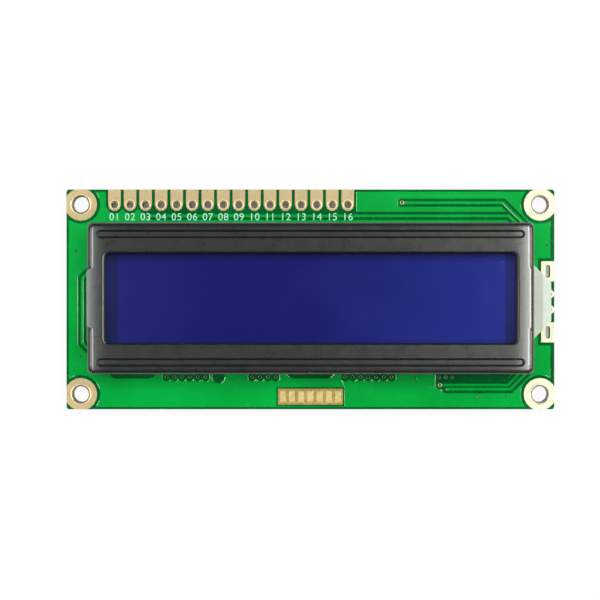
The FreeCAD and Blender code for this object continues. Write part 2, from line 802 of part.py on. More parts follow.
def chip_pads():
    """Copper pads that the chip parts stand on."""
    pads = []
    margin, cap = size("Sizes.chip_pad_margin"), size("Sizes.chip_cap")
    half_length, half_width = size("Sizes.chip_length / 2"), size("Sizes.chip_width / 2")
    for _, _, (x, y), along_x in chip_places():
        for side in (-1, 1):
            near, far = side * (half_length - cap), side * (half_length + margin)
            low, high = min(near, far), max(near, far)
            if along_x:
                pads.append(block(x + low, y - half_width, x + high, y + half_width))
            else:
                pads.append(block(x - half_width, y + low, x + half_width, y + high))
    return pads


def make_back_copper():
    right, top = size(RIGHT_EDGE), size(TOP_EDGE)
    inset, gap = size("Sizes.pour_inset"), size("Sizes.land_gap")
    level, thickness = size(BOARD_BACK), -size("Sizes.copper_thickness")
    areas = [disc(x, y, size("Sizes.mount_land") + gap, MOUNT_SIDES) for x, y in mount_centres()]
    row_x, row_y = size(HEADER_X), size(HEADER_Y)
    row_end = row_x + (size("Sizes.header_count") - 1) * size("Sizes.header_pitch")
    reach = size("Sizes.header_land_width / 2") + gap
    areas.append(block(row_x - reach, row_y - reach, row_end + reach, top))
    field_x = size(f"{TAB_PITCH} + Sizes.tab_width / 2") + gap
    field_low = via_rows()["first"][0][1] - gap
    areas.append(block(-field_x, field_low, field_x, row_y - reach + inset))
    pour = block(-right + inset, -top + inset, right - inset, top - inset)
    pour = pour.cut(areas + edge_clearings()).removeSplitter()
    add_shape("back_copper", Part.makeCompound([foil(pour, level, thickness)]))
    width = size("Sizes.trace_width") * 0.75
    blobs = [
        Part.Face(Part.Wire(Part.makeCircle(size(radius), FreeCAD.Vector(size(x), size("Sizes.blob_y"), 0))))
        for x, radius in (
            ("Sizes.controller_x", "Sizes.controller_blob"),
            ("Sizes.driver_x", "Sizes.driver_blob"),
        )
    ]
    faces = [band(route, width).cut(blobs) for route in back_routes()] + chip_pads()
    add_shape("back_traces", Part.makeCompound([foil(face, level, thickness) for face in faces]))


def make_contact_row(name, side):
    """Gilt contact fingers under one connector strip."""
    pitch, count = size(CONTACT_PITCH), int(size("Sizes.contact_count"))
    half_width, half_length = size("Sizes.contact_width / 2"), size("Sizes.contact_length / 2")
    y = size("Sizes.bezel_shift") + side * size(CHANNEL_Y)
    fingers = []
    for index in range(count):
        x = (index - (count - 1) / 2) * pitch
        face = block(x - half_width, y - half_length, x + half_width, y + half_length)
        fingers.append(foil(face, size(BOARD_FRONT), size("Sizes.copper_thickness")))
    return add_shape(name, Part.makeCompound(fingers))


# Bezel: one stamped sheet, folded down on four sides


def make_bezel():
    body = new_body("bezel")
    foot, top, underside = COPPER_TOP, BEZEL_TOP, SHEET_UNDERSIDE
    y = "Sizes.bezel_shift"
    blank = new_sketch(body, "blank", foot)
    draw_rectangle(blank, "0", y, "Sizes.bezel_length", "Sizes.bezel_width")
    shell = add_pad(body, blank, f"{top} - {foot}")
    shell = dress_edges(body, "Chamfer", shell, is_upright, "Size", "Sizes.corner_cut")
    level = size(top)
    shell = dress_edges(
        body, "Fillet", shell, lambda edge: lies_at(edge, level), "Radius", "Sizes.bend_radius"
    )

    cavity = new_sketch(body, "cavity", foot)
    draw_rectangle(cavity, "0", y, f"2 * {WALL_INSIDE_X}", f"2 * {WALL_INSIDE_Y}")
    add_pocket(body, cavity, f"{underside} - {foot}", upwards=True)

    relief = new_sketch(body, "relief", foot)
    for corner_x in (f"-{BEZEL_RIGHT}", BEZEL_RIGHT):
        for side in ("-", "+"):
            corner_y = f"{y} {side} {BEZEL_TOP_Y}"
            draw_round(relief, corner_x, corner_y, "Sizes.corner_relief", BORE_SIDES)
    add_pocket(body, relief, f"{underside} - {foot} - Sizes.bend_radius", upwards=True)

    # Pressed channels: a rib below the sheet first, then the trough in its top
    ribs = new_sketch(body, "ribs", underside)
    troughs = new_sketch(body, "troughs", top)
    wall = "Sizes.sheet_thickness"
    for side in ("-", "+"):
        centre = f"{y} {side} {CHANNEL_Y}"
        flank = "2 * Sizes.channel_flank"
        rib_width = f"(Sizes.channel_floor + {wall} + Sizes.channel_flank)"
        draw_slot(ribs, "0", centre, CHANNEL_LENGTH, rib_width, HALF_ROUND_SIDES)
        floor_length = f"({CHANNEL_LENGTH} - {flank})"
        draw_slot(troughs, "0", centre, floor_length, "Sizes.channel_floor", HALF_ROUND_SIDES)
    add_pad(body, ribs, "Sizes.channel_depth", downwards=True)
    trough = add_pocket(body, troughs, "Sizes.channel_depth")
    half_floor = size("Sizes.channel_floor / 2")

    def is_trough_rim(edge):
        box = edge.BoundBox
        offset = abs(abs((box.YMin + box.YMax) / 2 - size(y)) - size(CHANNEL_Y))
        return lies_at(edge, level) and offset < half_floor + 1e-6 and box.YLength <= 2 * half_floor + 1e-6

    dress_edges(body, "Chamfer", trough, is_trough_rim, "Size", "Sizes.channel_flank")

    # Window, with a bevel round its front edge
    window = new_sketch(body, "window", top)
    draw_rectangle(window, "0", y, WINDOW_LENGTH, WINDOW_WIDTH)
    opening = add_pocket(body, window, f"{wall} + Sizes.channel_depth + 0.1")
    half_length, half_width = size(f"{WINDOW_LENGTH} / 2"), size(f"{WINDOW_WIDTH} / 2")

    def is_window_corner(edge):
        centre = edge.BoundBox.Center
        at_side = abs(abs(centre.x) - half_length) < 1e-6
        return is_upright(edge) and at_side and abs(abs(centre.y - size(y)) - half_width) < 1e-6

    opening = dress_edges(body, "Fillet", opening, is_window_corner, "Radius", "Sizes.window_corner")

    def is_window_rim(edge):
        box = edge.BoundBox
        reach_x = max(abs(box.XMin), abs(box.XMax))
        reach_y = max(box.YMax - size(y), size(y) - box.YMin)
        return lies_at(edge, level) and reach_x < half_length + 1e-6 and reach_y < half_width + 1e-6

    dress_edges(body, "Chamfer", opening, is_window_rim, "Size", "Sizes.window_bevel")

    # Left wall: cut away in the middle, where the sheet runs out flat to its edge
    gap = new_sketch(body, "gap", f"-{BEZEL_RIGHT} - 1", "YZ_Plane")
    gap_height = f"{underside} - {foot} + 1"
    draw_rectangle(gap, y, f"{foot} - 1 + ({gap_height}) / 2", "Sizes.cutaway_width", gap_height)
    add_pocket(body, gap, "1 + Sizes.sheet_thickness + 0.2", upwards=True)
    lip = new_sketch(body, "lip", underside)
    root = f"-{BEZEL_RIGHT} + Sizes.bend_radius"
    wide, narrow = "Sizes.cutaway_width / 2", "(Sizes.cutaway_width / 2 - Sizes.cutaway_slope)"
    draw_polygon(
        lip,
        [
            (root, f"{y} - {wide}"),
            (root, f"{y} + {wide}"),
            (f"-{BEZEL_RIGHT}", f"{y} + {narrow}"),
            (f"-{BEZEL_RIGHT}", f"{y} - {narrow}"),
        ],
    )
    add_pad(body, lip, wall)

    # Right wall: notched from below for the light guide's neck
    notch = new_sketch(body, "notch", f"{BEZEL_RIGHT} + 1", "YZ_Plane")
    notch_height = f"({DIFFUSER_BASE} + Sizes.notch_clearance - {foot} + 1)"
    draw_rectangle(
        notch,
        "Sizes.backlight_shift",
        f"{foot} - 1 + {notch_height} / 2",
        "Sizes.neck_width + 2 * Sizes.notch_clearance",
        notch_height,
    )
    add_pocket(body, notch, "1 + Sizes.sheet_thickness + 0.2")

    # Tabs: straight through the board, then twisted behind it
    stems = new_sketch(body, "tab_stems", foot)
    neck_level = f"{BOARD_BACK} - Sizes.tab_neck"
    for side in ("-", "+"):
        draw_rectangle(stems, f"-{TAB_PITCH}", f"{y} {side} {TAB_WALL_Y}", "Sizes.tab_width", wall)
    stem = add_pad(body, stems, f"{foot} - ({neck_level})", downwards=True)
    twisted = [stem]
    for name, side in (("lower", "-"), ("upper", "+")):
        sections = []
        for end, level, turn in (("root", neck_level, "0"), ("tip", "0", "Sizes.tab_twist")):
            section = new_sketch(body, f"tab_{name}_{end}", level)
            section.setExpression("AttachmentOffset.Base.x", f"-{TAB_PITCH}")
            section.setExpression("AttachmentOffset.Base.y", f"{y} {side} {TAB_WALL_Y}")
            section.setExpression("AttachmentOffset.Rotation.Angle", turn)
            draw_rectangle(section, "0", "0", "Sizes.tab_width", wall)
            sections.append(section)
        tab = body.newObject("PartDesign::AdditiveLoft", f"bezel_tab_{name}")
        tab.Profile = sections[0]
        tab.Sections = sections[1:]
        tab.Ruled = True
        twisted.append(tab)
    add_row(body, twisted, stems, TAB_PITCH, "3")
    return body


# Display cell and connector strips


def make_plate(name, base, thickness, length, width):
    """Flat sheet of the display stack, centred on the bezel."""
    body = new_body(name)
    outline = new_sketch(body, "outline", base)
    draw_rectangle(outline, "0", "Sizes.bezel_shift", length, width)
    add_pad(body, outline, thickness)
    return body


def make_display_cell():
    glass_length = f"2 * ({WALL_INSIDE_X} - Sizes.glass_clearance)"
    glass_width = f"2 * ({WALL_INSIDE_Y} - Sizes.glass_clearance)"
    rear_length = f"({glass_length} - 2 * Sizes.ledge)"
    rib_width = "(Sizes.channel_floor + Sizes.sheet_thickness + Sizes.channel_flank)"
    rib_inside = f"({CHANNEL_Y} - {rib_width} / 2)"
    polariser_width = f"2 * ({rib_inside} - Sizes.polariser_clearance)"
    polariser_length = f"({rear_length} - 2 * Sizes.ledge)"
    thickness = "Sizes.glass_thickness"
    make_plate("front_glass", FRONT_GLASS_BASE, thickness, glass_length, glass_width)
    make_plate("rear_glass", REAR_GLASS_BASE, thickness, rear_length, STACK_WIDTH)
    film = "Sizes.polariser_thickness"
    make_plate("front_polariser", GLASS_TOP, film, polariser_length, polariser_width)
    make_plate("rear_polariser", REAR_POLARISER_BASE, film, polariser_length, STACK_WIDTH)

    seal = new_body("cell_seal")
    ring = new_sketch(seal, "ring", SEAL_BASE)
    draw_rectangle(ring, "0", "Sizes.bezel_shift", rear_length, STACK_WIDTH)
    inner_width = f"{STACK_WIDTH} - 2 * Sizes.seal_width"
    draw_rectangle(ring, "0", "Sizes.bezel_shift", f"{rear_length} - 2 * Sizes.seal_width", inner_width)
    add_pad(seal, ring, "Sizes.cell_gap")


def make_connector_strip(name, side):
    """Elastomer bar pressed between the contact fingers and the front glass."""
    body = new_body(name)
    outline = new_sketch(body, "outline", COPPER_TOP)
    centre = f"Sizes.bezel_shift {side} {CHANNEL_Y}"
    draw_rectangle(outline, "0", centre, STRIP_LENGTH, "Sizes.strip_width")
    add_pad(body, outline, f"{FRONT_GLASS_BASE} - {COPPER_TOP}")
    return body


# Backlight


def make_light_guide():
    """Clear slab whose neck leaves the bezel and narrows towards the lamp."""
    body = new_body("light_guide")
    outline = new_sketch(body, "outline", GUIDE_BASE)
    left = f"-({WALL_INSIDE_X} - Sizes.guide_clearance)"
    shoulder = f"({WALL_INSIDE_X} - Sizes.guide_clearance)"
    half, y, neck_y = f"({STACK_WIDTH} / 2)", "Sizes.bezel_shift", "Sizes.backlight_shift"
    neck = "(Sizes.neck_width / 2)"
    end = f"({GUIDE_END_X} - Sizes.lamp_depth)"
    slope = f"((Sizes.neck_width - Sizes.tip_width) / 2 / ({GUIDE_END_X} - {BEZEL_RIGHT}))"
    end_half = f"(Sizes.tip_width / 2 + {slope} * Sizes.lamp_depth)"
    draw_polygon(
        outline,
        [
            (left, f"{y} - {half}"),
            (shoulder, f"{y} - {half}"),
            (shoulder, f"{neck_y} - {neck}"),
            (BEZEL_RIGHT, f"{neck_y} - {neck}"),
            (end, f"{neck_y} - {end_half}"),
            (end, f"{neck_y} + {end_half}"),
            (BEZEL_RIGHT, f"{neck_y} + {neck}"),
            (shoulder, f"{neck_y} + {neck}"),
            (shoulder, f"{y} + {half}"),
            (left, f"{y} + {half}"),
        ],
    )
    add_pad(body, outline, "Sizes.guide_thickness")

    lamp = new_body("backlight_lamp")
    case = new_sketch(lamp, "case", GUIDE_BASE)
    tip = "(Sizes.tip_width / 2)"
    draw_polygon(
        case,
        [
            (end, f"{neck_y} - {end_half}"),
            (GUIDE_END_X, f"{neck_y} - {tip}"),
            (GUIDE_END_X, f"{neck_y} + {tip}"),
            (end, f"{neck_y} + {end_half}"),
        ],
    )
    moulding = add_pad(lamp, case, "Sizes.guide_thickness")
    tip_x = size(GUIDE_END_X)

    def is_tip_corner(edge):
        return is_upright(edge) and abs(edge.BoundBox.XMax - tip_x) < 1e-6

    dress_edges(lamp, "Fillet", moulding, is_tip_corner, "Radius", "Sizes.lead_width / 2")
    return body


def make_backlight_films():
    """Reflector below the guide and diffuser above it."""
    reach = f"({WALL_INSIDE_X} - Sizes.guide_clearance)"
    thickness = "Sizes.reflector_thickness"
    make_plate("reflector_film", BOARD_FRONT, thickness, f"2 * {reach}", STACK_WIDTH)
    thickness = "Sizes.diffuser_thickness"
    make_plate("diffuser_film", DIFFUSER_BASE, thickness, f"2 * {reach}", STACK_WIDTH)


def make_lamp_leads():
    """Two flat leads: out of the lamp's end, bent down and through their lands."""
    level, thickness = size(GUIDE_BASE) + size("Sizes.lead_rise"), size("Sizes.lead_thickness")
    start, centre = size(GUIDE_END_X), size(LAMP_X)
    tail = size(BOARD_BACK) - size("Sizes.lead_tail")
    width = size("Sizes.lead_width")
    leads = []
    for side in (-1, 1):
        y = size("Sizes.backlight_shift") + side * size("Sizes.lamp_pitch / 2") - width / 2
        outer, inner = centre + thickness / 2, centre - thickness / 2
        corners = [
            (start, level),
            (start, level - thickness),
            (inner, level - thickness),
            (inner, tail),
            (outer, tail),
            (outer, level - thickness / 2),
            (outer - thickness / 2, level),
        ]
        points = [FreeCAD.Vector(x, y, z) for x, z in corners]
        profile = Part.Face(Part.makePolygon(points + points[:1]))
        leads.append(profile.extrude(FreeCAD.Vector(0, width, 0)))
    return add_shape("lamp_leads", Part.makeCompound(leads))


def make_solder_joint(name, side, leads):
    """Solder cone round a lead, on the back of its land."""
    cone = new_body(f"{name}_cone")
    base = f"{BOARD_BACK} - Sizes.copper_thickness"
    tip = f"{base} - Sizes.solder_height"
    sections = []
    for level, radius in ((base, "Sizes.lamp_land"), (tip, "Sizes.lead_width * 0.7")):
        section = new_sketch(cone, f"section_{len(sections)}", level)
        draw_round(section, LAMP_X, lamp_bore_y(side), radius, BORE_SIDES)
        sections.append(section)
    loft = cone.newObject("PartDesign::AdditiveLoft", f"{name}_loft")
    loft.Profile = sections[0]
    loft.Sections = sections[1:]
    loft.Ruled = True
    joint = doc.addObject("Part::Cut", name)
    joint.Label = name
    joint.Base = cone
    joint.Tool = leads
    return joint


# Parts behind the board


def make_blob(name, x, radius):
    """Domed epoxy over a bare die, with a low rolled rim."""
    body = new_body(name)
    profile = new_sketch(body, "profile", "-Sizes.blob_y", "XZ_Plane")
    profile.setExpression("AttachmentOffset.Base.x", x)
    shoulder = "Sizes.blob_shoulder"
    rise = "(Sizes.blob_height - Sizes.blob_rim)"
    draw_polygon(
        profile,
        [
            ("0", BOARD_BACK),
            (radius, BOARD_BACK),
            (radius, f"{BOARD_BACK} - Sizes.blob_rim"),
            (f"{radius} * {shoulder}", f"{BOARD_BACK} - Sizes.blob_rim - {rise} * (1 - {shoulder}^2)"),
            ("0", f"{BOARD_BACK} - Sizes.blob_height"),
        ],
    )
    dome = body.newObject("PartDesign::Revolution", f"{name}_dome")
    dome.Profile = profile
    dome.ReferenceAxis = (profile, ["V_Axis"])
    dome.Angle = 360.0
    return body


def make_chip(name, height, place, along_x):
    """Chip part on its two pads: a ceramic bar between two wrapped end caps."""
    body = new_body(name)
    profile = new_sketch(body, "profile", "-Sizes.chip_width / 2", "XZ_Plane")
    half, cap = "Sizes.chip_length / 2", "Sizes.chip_cap"
    seat = "-Sizes.copper_thickness"
    skin = "Sizes.plating"
    draw_polygon(
        profile,
        [
            (f"-{half}", seat),
            (f"-{half}", f"{seat} - {height}"),
            (f"-{half} + {cap}", f"{seat} - {height}"),
            (f"-{half} + {cap}", f"{seat} - {height} + {skin}"),
            (f"{half} - {cap}", f"{seat} - {height} + {skin}"),
            (f"{half} - {cap}", f"{seat} - {height}"),
            (half, f"{seat} - {height}"),
            (half, seat),
            (f"{half} - {cap}", seat),
            (f"{half} - {cap}", f"{seat} - {skin}"),
            (f"-{half} + {cap}", f"{seat} - {skin}"),
            (f"-{half} + {cap}", seat),
        ],
    )
    add_pad(body, profile, "Sizes.chip_width")
    turn = FreeCAD.Rotation(FreeCAD.Vector(0, 0, 1), 0 if along_x else 90)
    body.Placement = FreeCAD.Placement(FreeCAD.Vector(place[0], place[1], size(BOARD_BACK)), turn)
    body.setExpression("Placement.Base.z", BOARD_BACK)
    return body


# Assembly

make_circuit_board()
for land in range(int(size("Sizes.header_count"))):
    make_header_land(land)
for corner, x_sign, y_sign in (
    ("top_left", "-", ""),
    ("top_right", "", ""),
    ("bottom_left", "-", "-"),
    ("bottom_right", "", "-"),
):
    make_mount_land(
        f"mount_land_{corner}", f"{x_sign}{MOUNT_X}", f"{y_sign}{MOUNT_Y}"
    )
make_slot_land("slot_land_upper", "+")
make_slot_land("slot_land_lower", "-")
make_lamp_land("lamp_land_upper", "+")
make_lamp_land("lamp_land_lower", "-")
make_label_plate()
make_front_copper()
make_back_copper()
make_contact_row("contacts_upper", 1)
make_contact_row("contacts_lower", -1)
make_bezel()
make_display_cell()
make_connector_strip("connector_strip_upper", "+")
make_connector_strip("connector_strip_lower", "-")
make_light_guide()
make_backlight_films()
lamp_leads = make_lamp_leads()
make_solder_joint("solder_joint_upper", "+", lamp_leads)
make_solder_joint("solder_joint_lower", "-", lamp_leads)
make_blob("controller_blob", "Sizes.controller_x", "Sizes.controller_blob")
make_blob("driver_blob", "Sizes.driver_x", "Sizes.driver_blob")
for chip_name, chip_height, chip_place, runs_along_x in chip_places():
    make_chip(chip_name, chip_height, chip_place, runs_along_x)
doc.recompute()

# Every object must be whole before anything is written
for item in doc.Objects:
    if "Invalid" in item.State or "Error" in item.State:
        raise RuntimeError(f"{item.Name} failed: {item.State}")
for cut in cuts:
    if cut.Shape.Volume >= cut.BaseFeature.Shape.Volume:
        raise RuntimeError(f"{cut.Name} removed nothing")

helpers = {item.Name for item in doc.Objects if item.Name.endswith("_cone")}
kinds = ("PartDesign::Body", "Part::Feature", "Part::Cut")
nodes = [item for item in doc.Objects if item.TypeId in kinds and item.Name not in helpers]
os.makedirs("parts", exist_ok=True)
for node in nodes:
    if node.Shape.isNull() or not node.Shape.isValid():
        raise RuntimeError(f"{node.Label} has no valid shape")
    node.Shape.exportStep(f"parts/{node.Label}.step")
    print(f"{node.Label}: {node.Shape.Volume:.2f} mm3, {len(node.Shape.Solids)} solids")
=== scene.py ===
"""Looks of the character display module: finishes, small parts, floor, light and camera."""

import logging
import math
from dataclasses import dataclass, field
from enum import Enum

import bmesh
import bpy
from mathutils import Euler, Matrix, Vector


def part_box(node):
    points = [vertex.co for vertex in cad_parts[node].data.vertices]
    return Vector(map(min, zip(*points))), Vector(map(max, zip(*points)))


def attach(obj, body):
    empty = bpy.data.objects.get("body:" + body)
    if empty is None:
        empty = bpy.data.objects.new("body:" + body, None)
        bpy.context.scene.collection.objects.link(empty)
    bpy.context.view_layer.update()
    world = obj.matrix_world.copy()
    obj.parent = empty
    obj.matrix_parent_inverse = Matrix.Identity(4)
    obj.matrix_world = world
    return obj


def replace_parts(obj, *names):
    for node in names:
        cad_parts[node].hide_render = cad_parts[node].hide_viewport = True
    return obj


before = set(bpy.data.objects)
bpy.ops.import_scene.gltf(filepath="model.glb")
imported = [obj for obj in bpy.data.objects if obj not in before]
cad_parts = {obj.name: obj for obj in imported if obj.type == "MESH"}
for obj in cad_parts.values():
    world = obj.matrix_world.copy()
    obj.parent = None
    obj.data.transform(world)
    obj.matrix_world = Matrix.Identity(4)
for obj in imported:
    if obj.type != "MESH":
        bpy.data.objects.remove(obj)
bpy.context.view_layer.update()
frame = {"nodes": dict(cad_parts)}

Color = tuple[float, float, float]
Point = tuple[float, float, float]
Pair = tuple[float, float]
Paints = dict[str, bpy.types.Material]
Socket = bpy.types.NodeSocket

MM = 0.001
LOG = logging.getLogger("display_module")
BOARD_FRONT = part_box("circuit_board")[1].z
COPPER_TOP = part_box("front_copper")[1].z
COPPER_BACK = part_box("back_copper")[0].z
BEZEL_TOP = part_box("bezel")[1].z
HEADER_LANDS = 16

# Parts of a noise's range over which a tone and a roughness change
TONE_RANGE: Pair = (0.35, 0.65)
WEAR_RANGE: Pair = (0.3, 0.7)
NOISE_DETAIL = 3.0


class View(Enum):
    """Where the photograph was taken from, in millimetres from the module's centre."""

    EYE = (-1.7, 0.6, 262.4)
    AIM = (-1.7, -0.1, 3.4)


class Tint(Enum):
    """Colours of the reflector cards."""

    WARM = (0.97, 1.0, 0.9)
    COOL = (0.9, 0.98, 1.0)
    CREAM = (1.0, 0.97, 0.86)


def srgb(red: float, green: float, blue: float) -> Color:
    """Linear colour of an sRGB colour.

    Args:
        red: red value, 0 to 255.
        green: green value, 0 to 255.
        blue: blue value, 0 to 255.

    Returns:
        The three linear values.
    """

    def linear(value: float) -> float:
        """One value made linear."""
        share = value / 255.0
        return share / 12.92 if share <= 0.04045 else ((share + 0.055) / 1.055) ** 2.4

    return linear(red), linear(green), linear(blue)


def rgba(color: Color) -> tuple[float, float, float, float]:
    """The colour with full opacity."""
    return (*color, 1.0)


def facing_turn(place: Vector, aim: Vector) -> Euler:
    """Turn of a camera or light that looks from one point at another, with its Y axis near world Y.

    Args:
        place: where it stands.
        aim: the point that it faces.

    Returns:
        The turn.
    """
    back = (place - aim).normalized()
    right = Vector((0.0, 1.0, 0.0)).cross(back).normalized()
    return Matrix((right, back.cross(right), back)).transposed().to_euler()


# Shader building


class Effects:
    """Node groups that several materials share, built once."""

    def __init__(self) -> None:
        """Build the groups."""
        self.specks = self._specks()
        self.brushed = self._brushed()

    @staticmethod
    def _start(name: str, **numbers: float) -> tuple[bpy.types.NodeTree, bpy.types.Node, bpy.types.Node]:
        """Start a group with a vector input, number inputs and one mask output.

        Args:
            name: the group's name.
            numbers: name and default of each number input.

        Returns:
            The tree, its input node and its output node.
        """
        tree = bpy.data.node_groups.new(name, "ShaderNodeTree")
        tree.interface.new_socket("Vector", in_out="INPUT", socket_type="NodeSocketVector")
        for label, value in numbers.items():
            number = tree.interface.new_socket(label, in_out="INPUT", socket_type="NodeSocketFloat")
            number.default_value = value
        tree.interface.new_socket("Mask", in_out="OUTPUT", socket_type="NodeSocketFloat")
        return tree, tree.nodes.new("NodeGroupInput"), tree.nodes.new("NodeGroupOutput")

    def _specks(self) -> bpy.types.NodeTree:
        """Small scattered dots.

        Returns:
            The group, whose mask is 1 on a dot and 0 elsewhere.
        """
        tree, inputs, outputs = self._start("specks", Scale=300.0, Reach=0.08)
        cells = tree.nodes.new("ShaderNodeTexVoronoi")
        tree.links.new(inputs.outputs["Vector"], cells.inputs["Vector"])
        tree.links.new(inputs.outputs["Scale"], cells.inputs["Scale"])
        dots = tree.nodes.new("ShaderNodeMath")
        dots.operation = "LESS_THAN"
        tree.links.new(cells.outputs["Distance"], dots.inputs[0])
        tree.links.new(inputs.outputs["Reach"], dots.inputs[1])
        tree.links.new(dots.outputs[0], outputs.inputs["Mask"])
        return tree

    def _brushed(self) -> bpy.types.NodeTree:
        """Fine streaks along Y.

        Returns:
            The group, whose mask is the streaks' tone.
        """
        stretch = (1.0, 0.12, 1.0)
        tree, inputs, outputs = self._start("brushed", Scale=1500.0)
        mapping = tree.nodes.new("ShaderNodeMapping")
        mapping.inputs["Scale"].default_value = stretch
        tree.links.new(inputs.outputs["Vector"], mapping.inputs["Vector"])
        noise = tree.nodes.new("ShaderNodeTexNoise")
        noise.inputs["Detail"].default_value = NOISE_DETAIL
        tree.links.new(mapping.outputs[0], noise.inputs["Vector"])
        tree.links.new(inputs.outputs["Scale"], noise.inputs["Scale"])
        tree.links.new(noise.outputs["Fac"], outputs.inputs["Mask"])
        return tree


EFFECTS = Effects()


class Shader:
    """One material's node tree, with short calls to add and join nodes."""

    def __init__(self, name: str) -> None:
        """Start an empty material.

        Args:
            name: the material's name.
        """
        self.material = bpy.data.materials.new(name)
        self.material.use_nodes = True
        self.tree = self.material.node_tree
        self.tree.nodes.clear()
        self.output = self.tree.nodes.new("ShaderNodeOutputMaterial")
        self.surface = self.tree.nodes.new("ShaderNodeBsdfPrincipled")
        self.join(self.surface.outputs[0], self.output.inputs["Surface"])
        coordinates = self.tree.nodes.new("ShaderNodeTexCoord")
        self.place = coordinates.outputs["Object"]
        self.facing = coordinates.outputs["Normal"]
        self.relief: Socket | None = None

    def join(self, source: Socket, target: Socket) -> None:
        """Link an output to an input."""
        self.tree.links.new(source, target)

    def add(self, kind: str, **settings: object) -> bpy.types.Node:
        """Add a node of a kind, with its properties set.

        Args:
            kind: the node's type name.
            settings: property names and values.

        Returns:
            The new node.
        """
        node = self.tree.nodes.new(kind)
        for name, value in settings.items():
            setattr(node, name, value)
        return node

    def feed(self, target: Socket, operand: Socket | Color | float) -> None:
        """Give an input its source.

        Args:
            target: the input.
            operand: a socket to link, or a number or colour to set.
        """
        if isinstance(operand, (int, float)):
            target.default_value = operand
        elif isinstance(operand, tuple):
            target.default_value = rgba(operand)
        else:
            self.join(operand, target)

    def effect(self, group: bpy.types.NodeTree, **numbers: float) -> Socket:
        """Add a shared group over the object's own coordinates.

        Args:
            group: the group.
            numbers: values of its number inputs.

        Returns:
            The mask's socket.
        """
        node = self.add("ShaderNodeGroup", node_tree=group)
        self.join(self.place, node.inputs["Vector"])
        for name, number in numbers.items():
            node.inputs[name].default_value = number
        return node.outputs["Mask"]

    def principled(self, **values: object) -> None:
        """Set constant values on the surface's sockets, with spaces written as underscores."""
        for name, value in values.items():
            self.surface.inputs[name.replace("_", " ")].default_value = value

    def noise(self, scale: float, detail: float = NOISE_DETAIL) -> Socket:
        """Noise over the object's own coordinates.

        Args:
            scale: how fine it is, in features per metre.
            detail: octaves.

        Returns:
            The noise value's socket.
        """
        noise = self.add("ShaderNodeTexNoise")
        noise.inputs["Scale"].default_value = scale
        noise.inputs["Detail"].default_value = detail
        self.join(self.place, noise.inputs["Vector"])
        return noise.outputs["Fac"]

    def span(
        self, value: Socket, low: float, high: float, to_low: float = 0.0, to_high: float = 1.0
    ) -> Socket:
        """Map a value's range to another range, clamped.

        Args:
            value: the value's socket.
            low: start of its range.
            high: end of its range.
            to_low: what the start becomes.
            to_high: what the end becomes.

        Returns:
            The result's socket.
        """
        node = self.add("ShaderNodeMapRange")
        self.join(value, node.inputs["Value"])
        for name, number in (("From Min", low), ("From Max", high), ("To Min", to_low), ("To Max", to_high)):
            node.inputs[name].default_value = number
        return node.outputs["Result"]

    def math(self, operation: str, *operands: Socket | float) -> Socket:
        """Work out a value.

        Args:
            operation: the maths node's operation.
            operands: its sockets or numbers.

        Returns:
            The result's socket.
        """
        node = self.add("ShaderNodeMath", operation=operation)
        for target, operand in zip(node.inputs, operands):
            self.feed(target, operand)
        return node.outputs[0]

    def mix(self, factor: Socket, first: Socket | Color, second: Socket | Color) -> Socket:
        """Mix two colours.

        Args:
            factor: socket with the second colour's share.
            first: socket or colour at a share of 0.
            second: socket or colour at a share of 1.

        Returns:
            The mixed colour's socket.
        """
        node = self.add("ShaderNodeMix", data_type="RGBA")
        share, _, _, _, _, _, start, end = node.inputs[:8]
        for target, operand in ((share, factor), (start, first), (end, second)):
            self.feed(target, operand)
        return node.outputs[2]

    def split(self, vector: Socket) -> tuple[Socket, ...]:
        """Take a vector apart.

        Args:
            vector: the vector's socket.

        Returns:
            The sockets of its x, y and z.
        """
        node = self.add("ShaderNodeSeparateXYZ")
        self.join(vector, node.inputs[0])
        return tuple(node.outputs)

    def color(self, source: Socket) -> None:
        """Give the surface its colour."""
        self.join(source, self.surface.inputs["Base Color"])

    def roughness(self, source: Socket) -> None:
        """Give the surface a roughness that varies."""
        self.join(source, self.surface.inputs["Roughness"])

    def bump(self, height: Socket, strength: float, distance: float) -> None:
        """Raise the surface by a height socket, on top of any earlier relief.

        Args:
            height: socket with 0..1 heights.
            strength: share of the effect.
            distance: height of the relief, in metres.
        """
        node = self.add("ShaderNodeBump")
        node.inputs["Strength"].default_value = strength
        node.inputs["Distance"].default_value = distance
        self.join(height, node.inputs["Height"])
        if self.relief is not None:
            self.join(self.relief, node.inputs["Normal"])
        self.relief = node.outputs[0]
        self.join(self.relief, self.surface.inputs["Normal"])


@dataclass(frozen=True)
class Dust:
    """Scattered specks of dust.

    Attributes:
        scale: how close they lie, in cells per metre.
        reach: radius of a speck as a share of its cell.
        share: how much of their colour shows.
        tint: their colour.
    """

    scale: float
    reach: float
    share: float
    tint: Color

    def over(self, shader: Shader, tone: Socket) -> Socket:
        """Scatter the specks over a tone.

        Args:
            shader: the material.
            tone: socket with the colour below them.

        Returns:
            Socket with the dusty colour.
        """
        specks = shader.effect(EFFECTS.specks, Scale=self.scale, Reach=self.reach)
        return shader.mix(shader.math("MULTIPLY", specks, self.share), tone, self.tint)


@dataclass(frozen=True)
class Patches:
    """Soft patches of noise.

    Attributes:
        scale: how fine they are, in features per metre.
        zone: part of the noise's range over which they come in.
        share: how strong they get.
        detail: octaves of the noise.
    """

    scale: float
    zone: Pair = TONE_RANGE
    share: float = 1.0
    detail: float = NOISE_DETAIL

    def mask(self, shader: Shader) -> Socket:
        """Socket with the patches' strength over a material."""
        return shader.span(shader.noise(self.scale, self.detail), *self.zone, 0.0, self.share)


